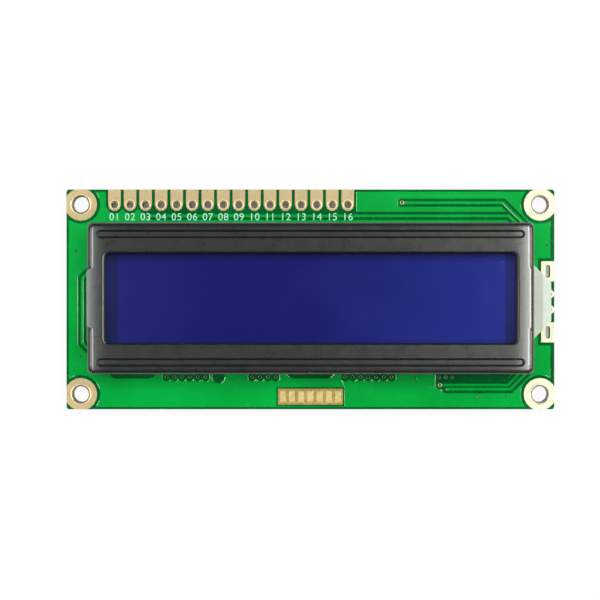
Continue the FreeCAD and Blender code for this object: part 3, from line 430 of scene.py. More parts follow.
@dataclass(frozen=True)
class Wear:
    """Roughness that changes softly over a surface.

    Attributes:
        scale: how fine the changes are, in features per metre.
        low: lowest roughness.
        high: highest roughness.
    """

    scale: float
    low: float
    high: float

    def over(self, shader: Shader) -> None:
        """Give a material this roughness."""
        shader.roughness(shader.span(shader.noise(self.scale), *WEAR_RANGE, self.low, self.high))


# Finishes


@dataclass(frozen=True)
class Finish:
    """A plain finish with fine variation.

    Attributes:
        name: the material's name.
        base: main colour.
        shade: colour in the darker patches.
        rough: lowest roughness.
        metallic: how metallic it is.
        grain: noise scale, in features per metre.
        relief: height of the fine relief, in metres.
        spread: how much rougher the roughest spots are.
        fineness: how much finer the relief is than the grain.
        strength: share of the relief that shows.
    """

    name: str
    base: Color
    shade: Color
    rough: float = 0.45
    metallic: float = 0.0
    grain: float = 1800.0
    relief: float = 0.004 * MM
    spread: float = 0.12
    fineness: float = 3.0
    strength: float = 0.35

    def build(self) -> bpy.types.Material:
        """Make the material.

        Returns:
            The material.
        """
        shader = Shader(self.name)
        shader.principled(Metallic=self.metallic)
        noise = shader.noise(self.grain)
        shader.color(shader.mix(shader.span(noise, *TONE_RANGE), self.base, self.shade))
        shader.roughness(shader.span(noise, *WEAR_RANGE, self.rough, self.rough + self.spread))
        shader.bump(shader.noise(self.grain * self.fineness), self.strength, self.relief)
        return shader.material


@dataclass(frozen=True)
class Lacquer:
    """Green lacquer with slow changes of tone, a pale grain of painted glints on the crests of its fine
    relief, and fine dust.

    Attributes:
        name: the material's name.
        base: main colour.
        shade: darker colour.
        pale: colour of the grain's painted glints.
        cloud: where the darker colour shows.
        grain: where the painted glints show, on the crests of the fine relief.
        dust: specks on it.
        wear: its roughness.
        gloss: specular level.
        relief: height of the grain, in metres.
        strength: share of the relief that shows.
    """

    name: str
    base: Color
    shade: Color
    pale: Color = srgb(0, 205, 84)
    cloud: Patches = Patches(scale=120.0, detail=2.0)
    grain: Patches = Patches(scale=2600.0, zone=(0.55, 0.75), share=0.25)
    dust: Dust = Dust(scale=330.0, reach=0.035, share=0.25, tint=srgb(120, 215, 150))
    wear: Wear = Wear(scale=900.0, low=0.09, high=0.13)
    gloss: float = 0.3
    relief: float = 0.002 * MM
    strength: float = 0.15

    def build(self) -> bpy.types.Material:
        """Make the material.

        Returns:
            The material.
        """
        shader = Shader(self.name)
        shader.principled(Specular_IOR_Level=self.gloss)
        tone = shader.mix(self.cloud.mask(shader), self.base, self.shade)
        # Painted glints on the crests of the fine relief
        tone = shader.mix(self.grain.mask(shader), tone, self.pale)
        shader.color(self.dust.over(shader, tone))
        self.wear.over(shader)
        shader.bump(shader.noise(self.grain.scale), self.strength, self.relief)
        return shader.material


@dataclass(frozen=True)
class Plating:
    """Gold-plated copper with fine streaks; upright walls and bores turn a darker brown, partly the copper
    barrel and partly painted shade.

    Attributes:
        name: the material's name.
        base: main colour.
        shade: colour of the streaks.
        wall: colour where the surface is upright, a darker brown that is partly painted shade.
        pale: colour towards the module's right end.
        metallic: how metallic it is.
        pale_span: where along X it turns pale, in metres.
        steep: how far up a surface faces where the wall's colour, with its painted shade, takes over.
        streak: scale of the streaks, in features per metre.
        streak_range: part of their noise over which the tone changes.
        rough: lowest and highest roughness.
        relief: height of the streaks, in metres.
        strength: share of the relief that shows.
    """

    name: str
    base: Color
    shade: Color
    wall: Color
    pale: Color
    metallic: float
    pale_span: Pair = (20.0 * MM, 34.0 * MM)
    steep: Pair = (0.5, 0.8)
    streak: float = 2600.0
    streak_range: Pair = (0.35, 0.7)
    rough: Pair = (0.3, 0.45)
    relief: float = 0.006 * MM
    strength: float = 0.3

    def build(self) -> bpy.types.Material:
        """Make the material.

        Returns:
            The material.
        """
        shader = Shader(self.name)
        shader.principled(Metallic=self.metallic)
        streaks = shader.effect(EFFECTS.brushed, Scale=self.streak)
        tone = shader.mix(shader.span(streaks, *self.streak_range), self.base, self.shade)
        x, _, _ = shader.split(shader.place)
        tone = shader.mix(shader.span(x, *self.pale_span), tone, self.pale)
        # Painted shade: upright faces such as bore barrels darken to the wall's brown
        _, _, up = shader.split(shader.facing)
        upright = shader.span(shader.math("ABSOLUTE", up), *self.steep, 1.0, 0.0)
        shader.color(shader.mix(upright, tone, self.wall))
        shader.roughness(shader.span(streaks, *WEAR_RANGE, *self.rough))
        shader.bump(streaks, self.strength, self.relief)
        return shader.material


@dataclass(frozen=True)
class PlateGilt:
    """Gold plate: dull ground, bright where it is raised.

    Attributes:
        name: the material's name.
        ground: two colours of the ground.
        crest: two colours of what is raised.
        step: height over the copper past which it counts as raised, in metres.
        metallic: how metallic it is.
        grain: where the second colour of each shows.
        wear: its roughness.
        pits: scale of the relief, in features per metre.
        relief: height of the relief, in metres.
        strength: share of the relief that shows.
    """

    name: str = "plate_gilt"
    ground: tuple[Color, Color] = (srgb(158, 136, 58), srgb(132, 110, 42))
    crest: tuple[Color, Color] = (srgb(190, 173, 112), srgb(178, 156, 90))
    step: float = 0.01 * MM
    metallic: float = 0.3
    grain: Patches = Patches(scale=2400.0)
    wear: Wear = Wear(scale=1200.0, low=0.32, high=0.45)
    pits: float = 5200.0
    relief: float = 0.006 * MM
    strength: float = 0.4

    def build(self) -> bpy.types.Material:
        """Make the material.

        Returns:
            The material.
        """
        shader = Shader(self.name)
        shader.principled(Metallic=self.metallic)
        _, _, level = shader.split(shader.place)
        raised = shader.math("GREATER_THAN", level, COPPER_TOP + self.step)
        grain = self.grain.mask(shader)
        shader.color(shader.mix(raised, shader.mix(grain, *self.ground), shader.mix(grain, *self.crest)))
        self.wear.over(shader)
        shader.bump(shader.noise(self.pits), self.strength, self.relief)
        return shader.material


@dataclass(frozen=True)
class PressedPaint:
    """Semi-gloss black on pressed steel, whose sheet isn't quite flat.

    Attributes:
        name: the material's name.
        base: main colour.
        shade: colour in the paler patches.
        dust: specks on it.
        wear: its roughness.
        gloss: specular level.
        grain: scale of the patches and of the paint's relief, in features per metre.
        grain_detail: octaves of the grain.
        grain_range: part of the grain's noise over which the tone changes.
        relief: height of the paint's relief, in metres.
        strength: share of the paint's relief that shows.
        ends: where along X the sheet starts to droop and where it stops, in metres.
        droop: how far it droops there, in metres.
        late: how late it droops; 1 is a plain slope.
        bends: where along X the sheet rolls into its end bends, in metres.
        notch: where along Y those bends stop for the flat middle of each end, in metres.
        roll: how far it falls in a bend, in metres.
        rows: where along Y the strips outside the channels start and stop, in metres.
        lean: how far those strips fall, in metres.
        window: half the window's length and width, in metres.
        corner: radius of its corners, in metres.
        middle: place of the window's centre along Y, in metres.
        lip: width of the window's rolled edge, in metres.
        lip_drop: how far that edge falls, in metres.
    """

    name: str = "bezel_paint"
    base: Color = srgb(17, 20, 21)
    shade: Color = srgb(27, 31, 32)
    dust: Dust = Dust(scale=220.0, reach=0.025, share=0.5, tint=srgb(150, 160, 155))
    wear: Wear = Wear(scale=700.0, low=0.27, high=0.3)
    gloss: float = 0.6
    grain: float = 4200.0
    grain_detail: float = 4.0
    grain_range: Pair = (0.4, 0.62)
    relief: float = 0.003 * MM
    strength: float = 0.25
    ends: Pair = (31.4 * MM, 35.6 * MM)
    droop: float = 0.26 * MM
    late: float = 2.6
    bends: Pair = (34.5 * MM, 34.95 * MM)
    notch: Pair = (4.7 * MM, 5.1 * MM)
    roll: float = 0.1 * MM
    rows: Pair = (10.7 * MM, 11.5 * MM)
    lean: float = 0.12 * MM
    window: Pair = (32.95 * MM, 7.4 * MM)
    corner: float = 1.05 * MM
    middle: float = 0.2 * MM
    lip: float = 0.3 * MM
    lip_drop: float = 0.06 * MM

    def fall(self, shader: Shader, share: Socket, depth: float) -> None:
        """Bump the shading as though the sheet fell; the mesh stays as it is.

        Args:
            shader: the material.
            share: socket with the share of the fall, 0 to 1.
            depth: how far it falls, in metres.
        """
        shader.bump(shader.math("SUBTRACT", 1.0, share), 1.0, depth)

    def window_gap(self, shader: Shader, along: Socket, across: Socket) -> Socket:
        """Distance from the window's rounded outline.

        Args:
            shader: the material.
            along: socket with the distance from the window's middle along X.
            across: socket with the distance from its middle along Y.

        Returns:
            The distance's socket, below 0 inside the window.
        """
        sides = []
        for place, half in zip((along, across), self.window):
            past = shader.math("SUBTRACT", place, half - self.corner)
            sides.append(shader.math("POWER", shader.math("MAXIMUM", past, 0.0), 2.0))
        reach = shader.math("SQRT", shader.math("ADD", *sides))
        return shader.math("SUBTRACT", reach, self.corner)

    def build(self) -> bpy.types.Material:
        """Make the material.

        Returns:
            The material.
        """
        shader = Shader(self.name)
        shader.principled(Specular_IOR_Level=self.gloss)
        fine = shader.noise(self.grain, self.grain_detail)
        tone = shader.mix(shader.span(fine, *self.grain_range), self.base, self.shade)
        shader.color(self.dust.over(shader, tone))
        self.wear.over(shader)
        x, y, _ = shader.split(shader.place)
        along = shader.math("ABSOLUTE", x)
        across = shader.math("ABSOLUTE", shader.math("SUBTRACT", y, self.middle))
        self.fall(shader, shader.math("POWER", shader.span(along, *self.ends), self.late), self.droop)
        rolled = shader.math("POWER", shader.span(along, *self.bends), 2.0)
        self.fall(shader, shader.math("MULTIPLY", rolled, shader.span(across, *self.notch)), self.roll)
        self.fall(shader, shader.span(across, *self.rows), self.lean)
        near = shader.span(self.window_gap(shader, along, across), 0.0, self.lip, 1.0, 0.0)
        self.fall(shader, shader.math("POWER", near, 2.0), self.lip_drop)
        shader.bump(fine, self.strength, self.relief)
        return shader.material


@dataclass(frozen=True)
class CellFilm:
    """Blue cell seen through its film: darker borders, soft changes across, painted reflection that lightens
    both ends and a painted shadow along the top.

    Attributes:
        name: the material's name.
        left: colour at the left end, lightened by painted reflection.
        centre: colour in the middle, darkest, where no painted reflection falls.
        right: colour at the right end, lightened by painted reflection.
        border: colour past the character field.
        top: colour of the painted shadow along the top.
        haze: colour of the slow changes.
        cloud: where the haze shows.
        dust: specks on it.
        wear: its roughness.
        middle: centre of the character field along X, in metres.
        field_edge: half the length of the character field, in metres.
        fade: width of the field's soft edge, in metres.
        shaded: height range of the painted shadow along the top, in metres.
        top_share: how much of the painted shadow's colour shows there.
        gloss: specular level.
    """

    name: str = "blue_cell"
    left: Color = srgb(30, 34, 108)
    centre: Color = srgb(21, 26, 102)
    right: Color = srgb(30, 42, 128)
    border: Color = srgb(25, 32, 78)
    top: Color = srgb(12, 14, 30)
    haze: Color = srgb(52, 58, 150)
    cloud: Patches = Patches(scale=55.0, zone=(0.45, 0.75), share=0.22, detail=1.0)
    dust: Dust = Dust(scale=170.0, reach=0.022, share=0.12, tint=srgb(150, 160, 200))
    wear: Wear = Wear(scale=400.0, low=0.11, high=0.15)
    middle: float = 0.2 * MM
    field_edge: float = 30.7 * MM
    fade: float = 0.3 * MM
    shaded: Pair = (5.8 * MM, 7.6 * MM)
    top_share: float = 0.85
    gloss: float = 0.3

    def build(self) -> bpy.types.Material:
        """Make the material.

        Returns:
            The material.
        """
        shader = Shader(self.name)
        shader.principled(Specular_IOR_Level=self.gloss)
        x, y, _ = shader.split(shader.place)
        # Painted reflection: lighter towards both ends, darkest just left of the middle
        tone = shader.mix(shader.span(x, -self.field_edge, -self.field_edge / 2), self.left, self.centre)
        tone = shader.mix(shader.span(x, 0.0, self.field_edge), tone, self.right)
        away = shader.math("ABSOLUTE", shader.math("SUBTRACT", x, self.middle))
        past = shader.span(away, self.field_edge, self.field_edge + self.fade)
        tone = shader.mix(past, tone, self.border)
        tone = shader.mix(self.cloud.mask(shader), tone, self.haze)
        # Painted shadow of the bezel's window edge along the top
        tone = shader.mix(shader.span(y, *self.shaded, 0.0, self.top_share), tone, self.top)
        shader.color(self.dust.over(shader, tone))
        self.wear.over(shader)
        return shader.material


@dataclass(frozen=True)
class ClearGlass:
    """Clear glass of the cell, seen at its cut edges.

    Attributes:
        name: the material's name.
        base: its colour.
        index: index of refraction.
        clearness: how much light passes.
        wear: its roughness.
    """

    name: str = "clear_glass"
    base: Color = srgb(190, 214, 205)
    index: float = 1.52
    clearness: float = 0.85
    wear: Wear = Wear(scale=900.0, low=0.04, high=0.12)

    def build(self) -> bpy.types.Material:
        """Make the material.

        Returns:
            The material.
        """
        shader = Shader(self.name)
        shader.principled(Base_Color=rgba(self.base), IOR=self.index, Transmission_Weight=self.clearness)
        self.wear.over(shader)
        return shader.material


@dataclass(frozen=True)
class Acrylic:
    """Clear acrylic over its white reflector: pale, with light inside.

    Attributes:
        name: the material's name.
        base: colour along the guide.
        tip: colour at its thin end.
        pale: colour of the fine patches.
        taper: where along X the colour changes to the tip's, in metres.
        patches: where the pale colour shows.
        wear: its roughness.
        index: index of refraction.
        glow: how much light scatters inside.
        depth: how far red, green and blue light reach inside, in metres.
    """

    name: str = "acrylic"
    base: Color = srgb(202, 212, 192)
    tip: Color = srgb(190, 199, 180)
    pale: Color = srgb(212, 220, 202)
    taper: Pair = (36.5 * MM, 37.4 * MM)
    patches: Patches = Patches(scale=900.0, share=0.3, detail=2.0)
    wear: Wear = Wear(scale=1500.0, low=0.18, high=0.3)
    index: float = 1.49
    glow: float = 0.4
    depth: tuple[float, float, float] = (1.5 * MM, 1.5 * MM, 1.3 * MM)

    def build(self) -> bpy.types.Material:
        """Make the material.

        Returns:
            The material.
        """
        shader = Shader(self.name)
        shader.principled(IOR=self.index, Subsurface_Weight=self.glow, Subsurface_Scale=1.0)
        shader.principled(Subsurface_Radius=self.depth)
        x, _, _ = shader.split(shader.place)
        tone = shader.mix(shader.span(x, *self.taper), self.base, self.tip)
        shader.color(shader.mix(self.patches.mask(shader), tone, self.pale))
        self.wear.over(shader)
        return shader.material


@dataclass(frozen=True)
class StripedSilicone:
    """Silicone strip with fine carbon stripes along its length.

    Attributes:
        name: the material's name.
        base: colour of the silicone.
        carbon: colour of the stripes.
        stripes: how many there are in a metre.
        edge: where in each step the stripe begins.
        rough: roughness.
    """

    name: str = "striped_silicone"
    base: Color = srgb(232, 190, 200)
    carbon: Color = srgb(40, 36, 38)
    stripes: float = 5000.0
    edge: Pair = (0.45, 0.55)
    rough: float = 0.55

    def build(self) -> bpy.types.Material:
        """Make the material.

        Returns:
            The material.
        """
        shader = Shader(self.name)
        shader.principled(Roughness=self.rough)
        x, _, _ = shader.split(shader.place)
        wave = shader.math("FRACT", shader.math("MULTIPLY", x, self.stripes))
        shader.color(shader.mix(shader.span(wave, *self.edge), self.base, self.carbon))
        return shader.material


FINISHES = (
    Plating("land_gilt", srgb(180, 161, 115), srgb(160, 139, 96), wall=srgb(92, 70, 52),
            pale=srgb(172, 174, 150), metallic=0.3),
    # A lighter copy of the plating: painted highlight on the bores' lips
    Plating("lip_highlight_gilt", srgb(216, 199, 155), srgb(203, 181, 130), wall=srgb(110, 86, 62),
            pale=srgb(190, 188, 165), metallic=0.2),
    # A darker copy of the plating: painted shade at the bores' mouths
    Plating("bore_shade", srgb(92, 72, 58), srgb(78, 60, 48), wall=srgb(70, 54, 42),
            pale=srgb(104, 82, 68), metallic=0.1),
    Finish("tin", srgb(198, 200, 204), srgb(160, 163, 168), rough=0.28, metallic=0.95),
    Finish("black_epoxy", srgb(16, 16, 18), srgb(24, 24, 27), rough=0.34, grain=300.0, relief=0.02 * MM),
    Finish("matte_film", srgb(236, 238, 236), srgb(222, 226, 224), rough=0.6),
    Finish("seal_adhesive", srgb(48, 48, 62), srgb(38, 38, 50), rough=0.6),
    Finish("white_moulding", srgb(198, 209, 194), srgb(190, 201, 187), rough=0.35),
    Finish("resistor_body", srgb(30, 30, 34), srgb(42, 42, 46), rough=0.4),
    Finish("capacitor_body", srgb(150, 118, 84), srgb(134, 104, 72), rough=0.45),
    Finish("pin_print", srgb(176, 240, 216), srgb(150, 226, 196), rough=0.5),
    Finish("via_shade", srgb(4, 40, 22), srgb(2, 30, 16), rough=0.8),
    Finish("via_rim", srgb(120, 150, 96), srgb(70, 120, 70), rough=0.3),
    Lacquer("laminate_lacquer", srgb(0, 104, 46), srgb(0, 88, 38)),
    Lacquer("copper_lacquer", srgb(0, 178, 66), srgb(0, 162, 58)),
    CellFilm(),
    PressedPaint(),
    PlateGilt(),
    ClearGlass(),
    Acrylic(),
    StripedSilicone(),
)

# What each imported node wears, by how its name starts; the first start that fits counts
NODE_FINISHES = {
    "circuit_board": "laminate_lacquer",
    "label_plate": "plate_gilt",
    "bezel": "bezel_paint",
    "cell_seal": "seal_adhesive",
    "light_guide": "acrylic",
    "backlight_lamp": "white_moulding",
    "lamp_leads": "tin",
    "front_polariser": "blue_cell",
    "rear_polariser": "blue_cell",
    "front_glass": "clear_glass",
    "rear_glass": "clear_glass",
    "front_": "copper_lacquer",
    "back_": "copper_lacquer",
    "diffuser": "matte_film",
    "reflector": "matte_film",
    "header_land": "land_gilt",
    "mount_land": "land_gilt",
    "slot_land": "land_gilt",
    "lamp_land": "land_gilt",
    "contacts": "plate_gilt",
    "connector_strip": "striped_silicone",
    "solder_joint": "tin",
    "resistor": "resistor_body",
    "capacitor": "capacitor_body",
    "controller_blob": "black_epoxy",
    "driver_blob": "black_epoxy",
}


@dataclass
class Finishes:
    """All materials of the module, made once and handed to its nodes.

    Attributes:
        materials: the materials by name.
    """

    materials: Paints = field(default_factory=dict)

    def build(self) -> None:
        """Make every material."""
        for finish in FINISHES:
            self.materials[finish.name] = finish.build()

    def material_for(self, node: str) -> bpy.types.Material:
        """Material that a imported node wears."""
        name = next(name for start, name in NODE_FINISHES.items() if node.startswith(start))
        return self.materials[name]

    def dress(self, nodes: dict[str, bpy.types.Object]) -> None:
        """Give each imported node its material.

        Args:
            nodes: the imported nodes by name.
        """
        for name, node in nodes.items():
            node.data.materials.clear()
            node.data.materials.append(self.material_for(name))


# Pieces


def add_piece(name: str, mesh: bpy.types.Mesh) -> bpy.types.Object:
    """Link a mesh as an object that rides the module.

    Args:
        name: the piece's name.
        mesh: its mesh, already in place.

    Returns:
        The object.
    """
    piece = bpy.data.objects.new(name, mesh)
    bpy.context.scene.collection.objects.link(piece)
    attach(piece, "root")
    LOG.info("piece %s: %d faces", name, len(mesh.polygons))
    return piece


def finish_piece(name: str, shape: bmesh.types.BMesh, *materials: bpy.types.Material) -> bpy.types.Object:
    """Turn a mesh that is being built into a piece.

    Args:
        name: the piece's name.
        shape: its mesh, which is freed.
        materials: what it wears, slot by slot.

    Returns:
        The object.
    """
    mesh = bpy.data.meshes.new(name)
    shape.to_mesh(mesh)
    shape.free()
    for material in materials:
        mesh.materials.append(material)
    return add_piece(name, mesh)


@dataclass(frozen=True)
class CoatedCopper:
    """Foil under lacquer, whose edges fall away in a soft shoulder.

    Attributes:
        material: the lacquer over the foil.
        nodes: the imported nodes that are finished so.
        shoulder: width of the shoulder, in metres.
        drop: how far it falls, in metres.
        weld: distance within which points are one, in metres.
        flat: how far outwards a face of the foil's outer side faces, at least.
        upright: how far outwards a face of its wall faces, at most.
    """

    material: str = "copper_lacquer"
    nodes: tuple[str, ...] = ("front_copper", "front_traces", "back_copper", "back_traces")
    shoulder: float = 0.09 * MM
    drop: float = 0.03 * MM
    weld: float = 0.001 * MM
    flat: float = 0.9
    upright: float = 0.5

    def soften(self, name: str, material: bpy.types.Material) -> None:
        """Make one node's finished piece.

        Args:
            name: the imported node's name.
            material: the lacquer.
        """
        shape = bmesh.new()
        shape.from_mesh(frame["nodes"][name].data)
        bmesh.ops.remove_doubles(shape, verts=shape.verts, dist=self.weld)
        sign = 1.0 if name.startswith("front") else -1.0
        outer = [face for face in shape.faces if face.normal.z * sign > self.flat]
        rim = {vert for face in outer for edge in face.edges for vert in edge.verts
               if any(other.normal.z * sign < self.upright for other in edge.link_faces)}
        bmesh.ops.inset_region(shape, faces=outer, thickness=self.shoulder, use_even_offset=False)
        for vert in rim:
            vert.co.z -= sign * self.drop
        for face in shape.faces:
            face.smooth = False
        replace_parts(finish_piece(f"{name}_coated", shape, material), name)

    def build(self, paints: Paints) -> None:
        """Make every finished foil.

        Args:
            paints: the module's materials.
        """
        for name in self.nodes:
            self.soften(name, paints[self.material])


@dataclass(frozen=True)
class ViaRow:
    """Vias in a line.

    Attributes:
        start: centre of the first, in millimetres.
        count: how many.
        pitch: step along X, in millimetres.
    """

    start: Pair
    count: int = 1
    pitch: float = 1.27

    def points(self, level: float) -> list[Point]:
        """Centres at a height, in metres."""
        x, y = self.start
        return [((x + index * self.pitch) * MM, y * MM, level) for index in range(self.count)]


class GeometryTree:
    """A Geometry Nodes tree with a geometry and numbers as inputs and one geometry as output."""

    def __init__(self, name: str, *sizes: str) -> None:
        """Start the tree.

        Args:
            name: its name.
            sizes: names of its number inputs.
        """
        self.tree = bpy.data.node_groups.new(name, "GeometryNodeTree")
        self.tree.interface.new_socket("Geometry", in_out="INPUT", socket_type="NodeSocketGeometry")
        for size in sizes:
            self.tree.interface.new_socket(size, in_out="INPUT", socket_type="NodeSocketFloat")
        self.tree.interface.new_socket("Geometry", in_out="OUTPUT", socket_type="NodeSocketGeometry")
        self.inputs = self.tree.nodes.new("NodeGroupInput").outputs
        self.outputs = self.tree.nodes.new("NodeGroupOutput").inputs

    def add(self, kind: str, **inputs: object) -> bpy.types.Node:
        """Add a node and feed its inputs.

        Args:
            kind: the node's type name.
            inputs: value, socket or list of sockets for each input, with spaces written as underscores.

        Returns:
            The new node.
        """
        node = self.tree.nodes.new(kind)
        for name, given in inputs.items():
            target = node.inputs[name.replace("_", " ")]
            for source in given if isinstance(given, list) else [given]:
                if isinstance(source, Socket):
                    self.tree.links.new(source, target)
                else:
                    target.default_value = source
        return node


@dataclass(frozen=True)
class Vias:
    """Plated vias: a low ring round a dark disc of painted shade over the hole, repeated over a set of points.

    Attributes:
        name: the piece's name.
        rim: material of the ring.
        rows: where they are.
        radius: radius of the ring, in metres.
        wire: radius of the ring's section, in metres.
        lift: height of the points above the board, in metres.
        middle: material of the middle, the painted shade.
        around: steps round the ring.
        section: steps round its section.
    """

    name: str
    rim: str
    rows: tuple[ViaRow, ...]
    radius: float
    wire: float
    lift: float = 0.0
    middle: str = "via_shade"
    around: int = 20
    section: int = 8

    def group(self, paints: Paints) -> bpy.types.NodeTree:
        """Node tree that puts a ring and its middle on each point.

        Args:
            paints: the module's materials.

        Returns:
            The tree.
        """
        maker = GeometryTree(f"{self.name}_group", "Radius", "Wire")
        radius, wire = maker.inputs["Radius"], maker.inputs["Wire"]
        circle = maker.add("GeometryNodeCurvePrimitiveCircle", Resolution=self.around, Radius=radius)
        section = maker.add("GeometryNodeCurvePrimitiveCircle", Resolution=self.section, Radius=wire)
        curve, profile = circle.outputs["Curve"], section.outputs["Curve"]
        ring = maker.add("GeometryNodeCurveToMesh", Curve=curve, Profile_Curve=profile)
        disc = maker.add("GeometryNodeMeshCircle", Vertices=self.around, Radius=radius)
        disc.fill_type = "NGON"
        painted = []
        for part, paint in ((ring, self.rim), (disc, self.middle)):
            mesh = part.outputs["Mesh"]
            coat = maker.add("GeometryNodeSetMaterial", Geometry=mesh, Material=paints[paint])
            painted.append(coat.outputs["Geometry"])
        via = maker.add("GeometryNodeJoinGeometry", Geometry=painted).outputs["Geometry"]
        points = maker.inputs["Geometry"]
        spread = maker.add("GeometryNodeInstanceOnPoints", Points=points, Instance=via)
        whole = maker.add("GeometryNodeRealizeInstances", Geometry=spread.outputs["Instances"])
        maker.tree.links.new(whole.outputs["Geometry"], maker.outputs["Geometry"])
        return maker.tree

    def build(self, paints: Paints) -> None:
        """Make the vias as one plain mesh.

        Args:
            paints: the module's materials.
        """
        level = BOARD_FRONT + self.lift
        seeds = bpy.data.meshes.new(f"{self.name}_seeds")
        seeds.from_pydata([point for row in self.rows for point in row.points(level)], [], [])
        carrier = bpy.data.objects.new(f"{self.name}_carrier", seeds)
        bpy.context.scene.collection.objects.link(carrier)
        modifier = carrier.modifiers.new("spread", "NODES")
        modifier.node_group = self.group(paints)
        for item in modifier.node_group.interface.items_tree:
            if item.in_out == "INPUT" and item.name in ("Radius", "Wire"):
                modifier[item.identifier] = getattr(self, item.name.lower())
        evaluated = carrier.evaluated_get(bpy.context.evaluated_depsgraph_get())
        mesh = bpy.data.meshes.new_from_object(evaluated)
        bpy.data.objects.remove(carrier)
        add_piece(self.name, mesh)


@dataclass(frozen=True)
class PinNumbers:
    """Printed numbers below the header lands.

    Attributes:
        material: the print.
        height: height of the digits, in metres.
        gap: from a land's lower end to the middle of its number, in metres.
        lift: height of the print over the copper, in metres.
        letter: text size that gives digits of a height of 1.
        spacing: space between digits, as a share of the usual.
    """

    material: str = "pin_print"
    height: float = 1.2 * MM
    gap: float = 1.05 * MM
    lift: float = 0.012 * MM
    letter: float = 1.38
    spacing: float = 1.1

    def build(self, paints: Paints) -> None:
        """Make one mesh of all the numbers.

        Args:
            paints: the module's materials.
        """
        shape = bmesh.new()
        for index in range(1, HEADER_LANDS + 1):
            low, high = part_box(f"header_land_{index:02d}")
            text = bpy.data.curves.new("number", "FONT")
            text.body = f"{index:02d}"
            text.size = self.height * self.letter
            text.space_character = self.spacing
            text.align_x, text.align_y = "CENTER", "CENTER"
            carrier = bpy.data.objects.new("number", text)
            bpy.context.scene.collection.objects.link(carrier)
            bpy.context.view_layer.update()
            mesh = bpy.data.meshes.new_from_object(carrier)
            shift = Vector(((low.x + high.x) / 2, low.y - self.gap, COPPER_TOP + self.lift))
            mesh.transform(Matrix.Translation(shift))
            shape.from_mesh(mesh)
            bpy.data.objects.remove(carrier)
        finish_piece("pin_numbers", shape, paints[self.material])


@dataclass(frozen=True)
class BoreRings:
    """Rounded rings round the mouths of a set of bores, on both sides of the board: lips in a lighter plating
    as painted highlight, rims in a darker one as painted shade.

    Attributes:
        name: the piece's name.
        material: the plating; a lighter copy is painted highlight, a darker copy painted shade.
        centres: middles of the bores, in metres.
        radius: radius of the ring's crest, in metres.
        wire: half the width of its section, in metres.
        flatness: height of the section as a share of its width.
        around: steps round the ring.
        section: steps round its section.
    """

    name: str
    material: str
    centres: tuple[Pair, ...]
    radius: float
    wire: float
    flatness: float = 0.4
    around: int = 48
    section: int = 10

    def build(self, paints: Paints) -> None:
        """Make rings of a flattened round section.

        Args:
            paints: the module's materials.
        """
        shape = bmesh.new()
        for x, y in self.centres:
            for level in (COPPER_TOP, COPPER_BACK):
                self.ring(shape, Vector((x, y, level)))
        bmesh.ops.recalc_face_normals(shape, faces=shape.faces)
        for face in shape.faces:
            face.smooth = True
        finish_piece(self.name, shape, paints[self.material])

    def ring(self, shape: bmesh.types.BMesh, centre: Vector) -> None:
        """Add one ring to a mesh.

        Args:
            shape: the mesh.
            centre: the ring's middle.
        """
        rows = []
        for step in range(self.around):
            turn = 2 * math.pi * step / self.around
            row = []
            for part in range(self.section):
                angle = 2 * math.pi * part / self.section
                reach = self.radius + self.wire * math.cos(angle)
                lift = self.flatness * self.wire * math.sin(angle)
                spot = Vector((reach * math.cos(turn), reach * math.sin(turn), lift))
                row.append(shape.verts.new(centre + spot))
            rows.append(row)
        for step in range(self.around):
            here, there = rows[step], rows[(step + 1) % self.around]
            for part in range(self.section):
                after = (part + 1) % self.section
                shape.faces.new((here[part], there[part], there[after], here[after]))


@dataclass(frozen=True)
class ChipParts:
    """Chip resistors and capacitors with rounded bodies and tinned end caps.

    Attributes:
        cap: length of an end cap, in metres.
        inset: how far the body lies below the caps' faces, in metres.
        body_edge: width of the body's softened edges, in metres.
        cap_edge: width of the caps' softened edges, in metres.
        cap_material: what the caps wear.
    """

    cap: float = 0.4 * MM
    inset: float = 0.03 * MM
    body_edge: float = 0.04 * MM
    cap_edge: float = 0.07 * MM
    cap_material: str = "tin"

    def block(self, shape: bmesh.types.BMesh, low: Vector, high: Vector, slot: int, edge: float) -> None:
        """Add a box with softened edges.

        Args:
            shape: the mesh.
            low: lowest corner.
            high: highest corner.
            slot: its material's place.
            edge: width of the softened edges.
        """
        size, centre = high - low, (high + low) / 2
        placed = Matrix.Translation(centre) @ Matrix.Diagonal((*size, 1.0))
        verts = bmesh.ops.create_cube(shape, size=1.0, matrix=placed)["verts"]
        edges = list({link for vert in verts for link in vert.link_edges})
        made = bmesh.ops.bevel(shape, geom=edges, offset=edge, segments=2, profile=0.5, affect="EDGES")
        faces = set(made["faces"]) | {face for vert in made["verts"] for face in vert.link_faces}
        for face in faces:
            face.material_index = slot

    def chip(self, name: str) -> bmesh.types.BMesh:
        """Body and end caps of one chip.

        Args:
            name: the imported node's name.

        Returns:
            The mesh, with the body in slot 0 and the caps in slot 1.
        """
        low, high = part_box(name)
        long = 0 if high.x - low.x > high.y - low.y else 1
        shape = bmesh.new()
        narrow = Vector((self.inset, self.inset, self.inset))
        narrow[long] = self.cap / 2
        self.block(shape, low + narrow, high - narrow, 0, self.body_edge)
        first_high, last_low = high.copy(), low.copy()
        first_high[long] = low[long] + self.cap
        last_low[long] = high[long] - self.cap
        self.block(shape, low, first_high, 1, self.cap_edge)
        self.block(shape, last_low, high, 1, self.cap_edge)
        return shape

    def build(self, paints: Paints) -> None:
        """Replace each chip node by its detailed form.

        Args:
            paints: the module's materials.
        """
        for name in [name for name in frame["nodes"] if name.startswith(("resistor_", "capacitor_"))]:
            body = paints[f"{name.split('_')[0]}_body"]
            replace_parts(finish_piece(f"{name}_chip", self.chip(name), body, paints[self.cap_material]), name)


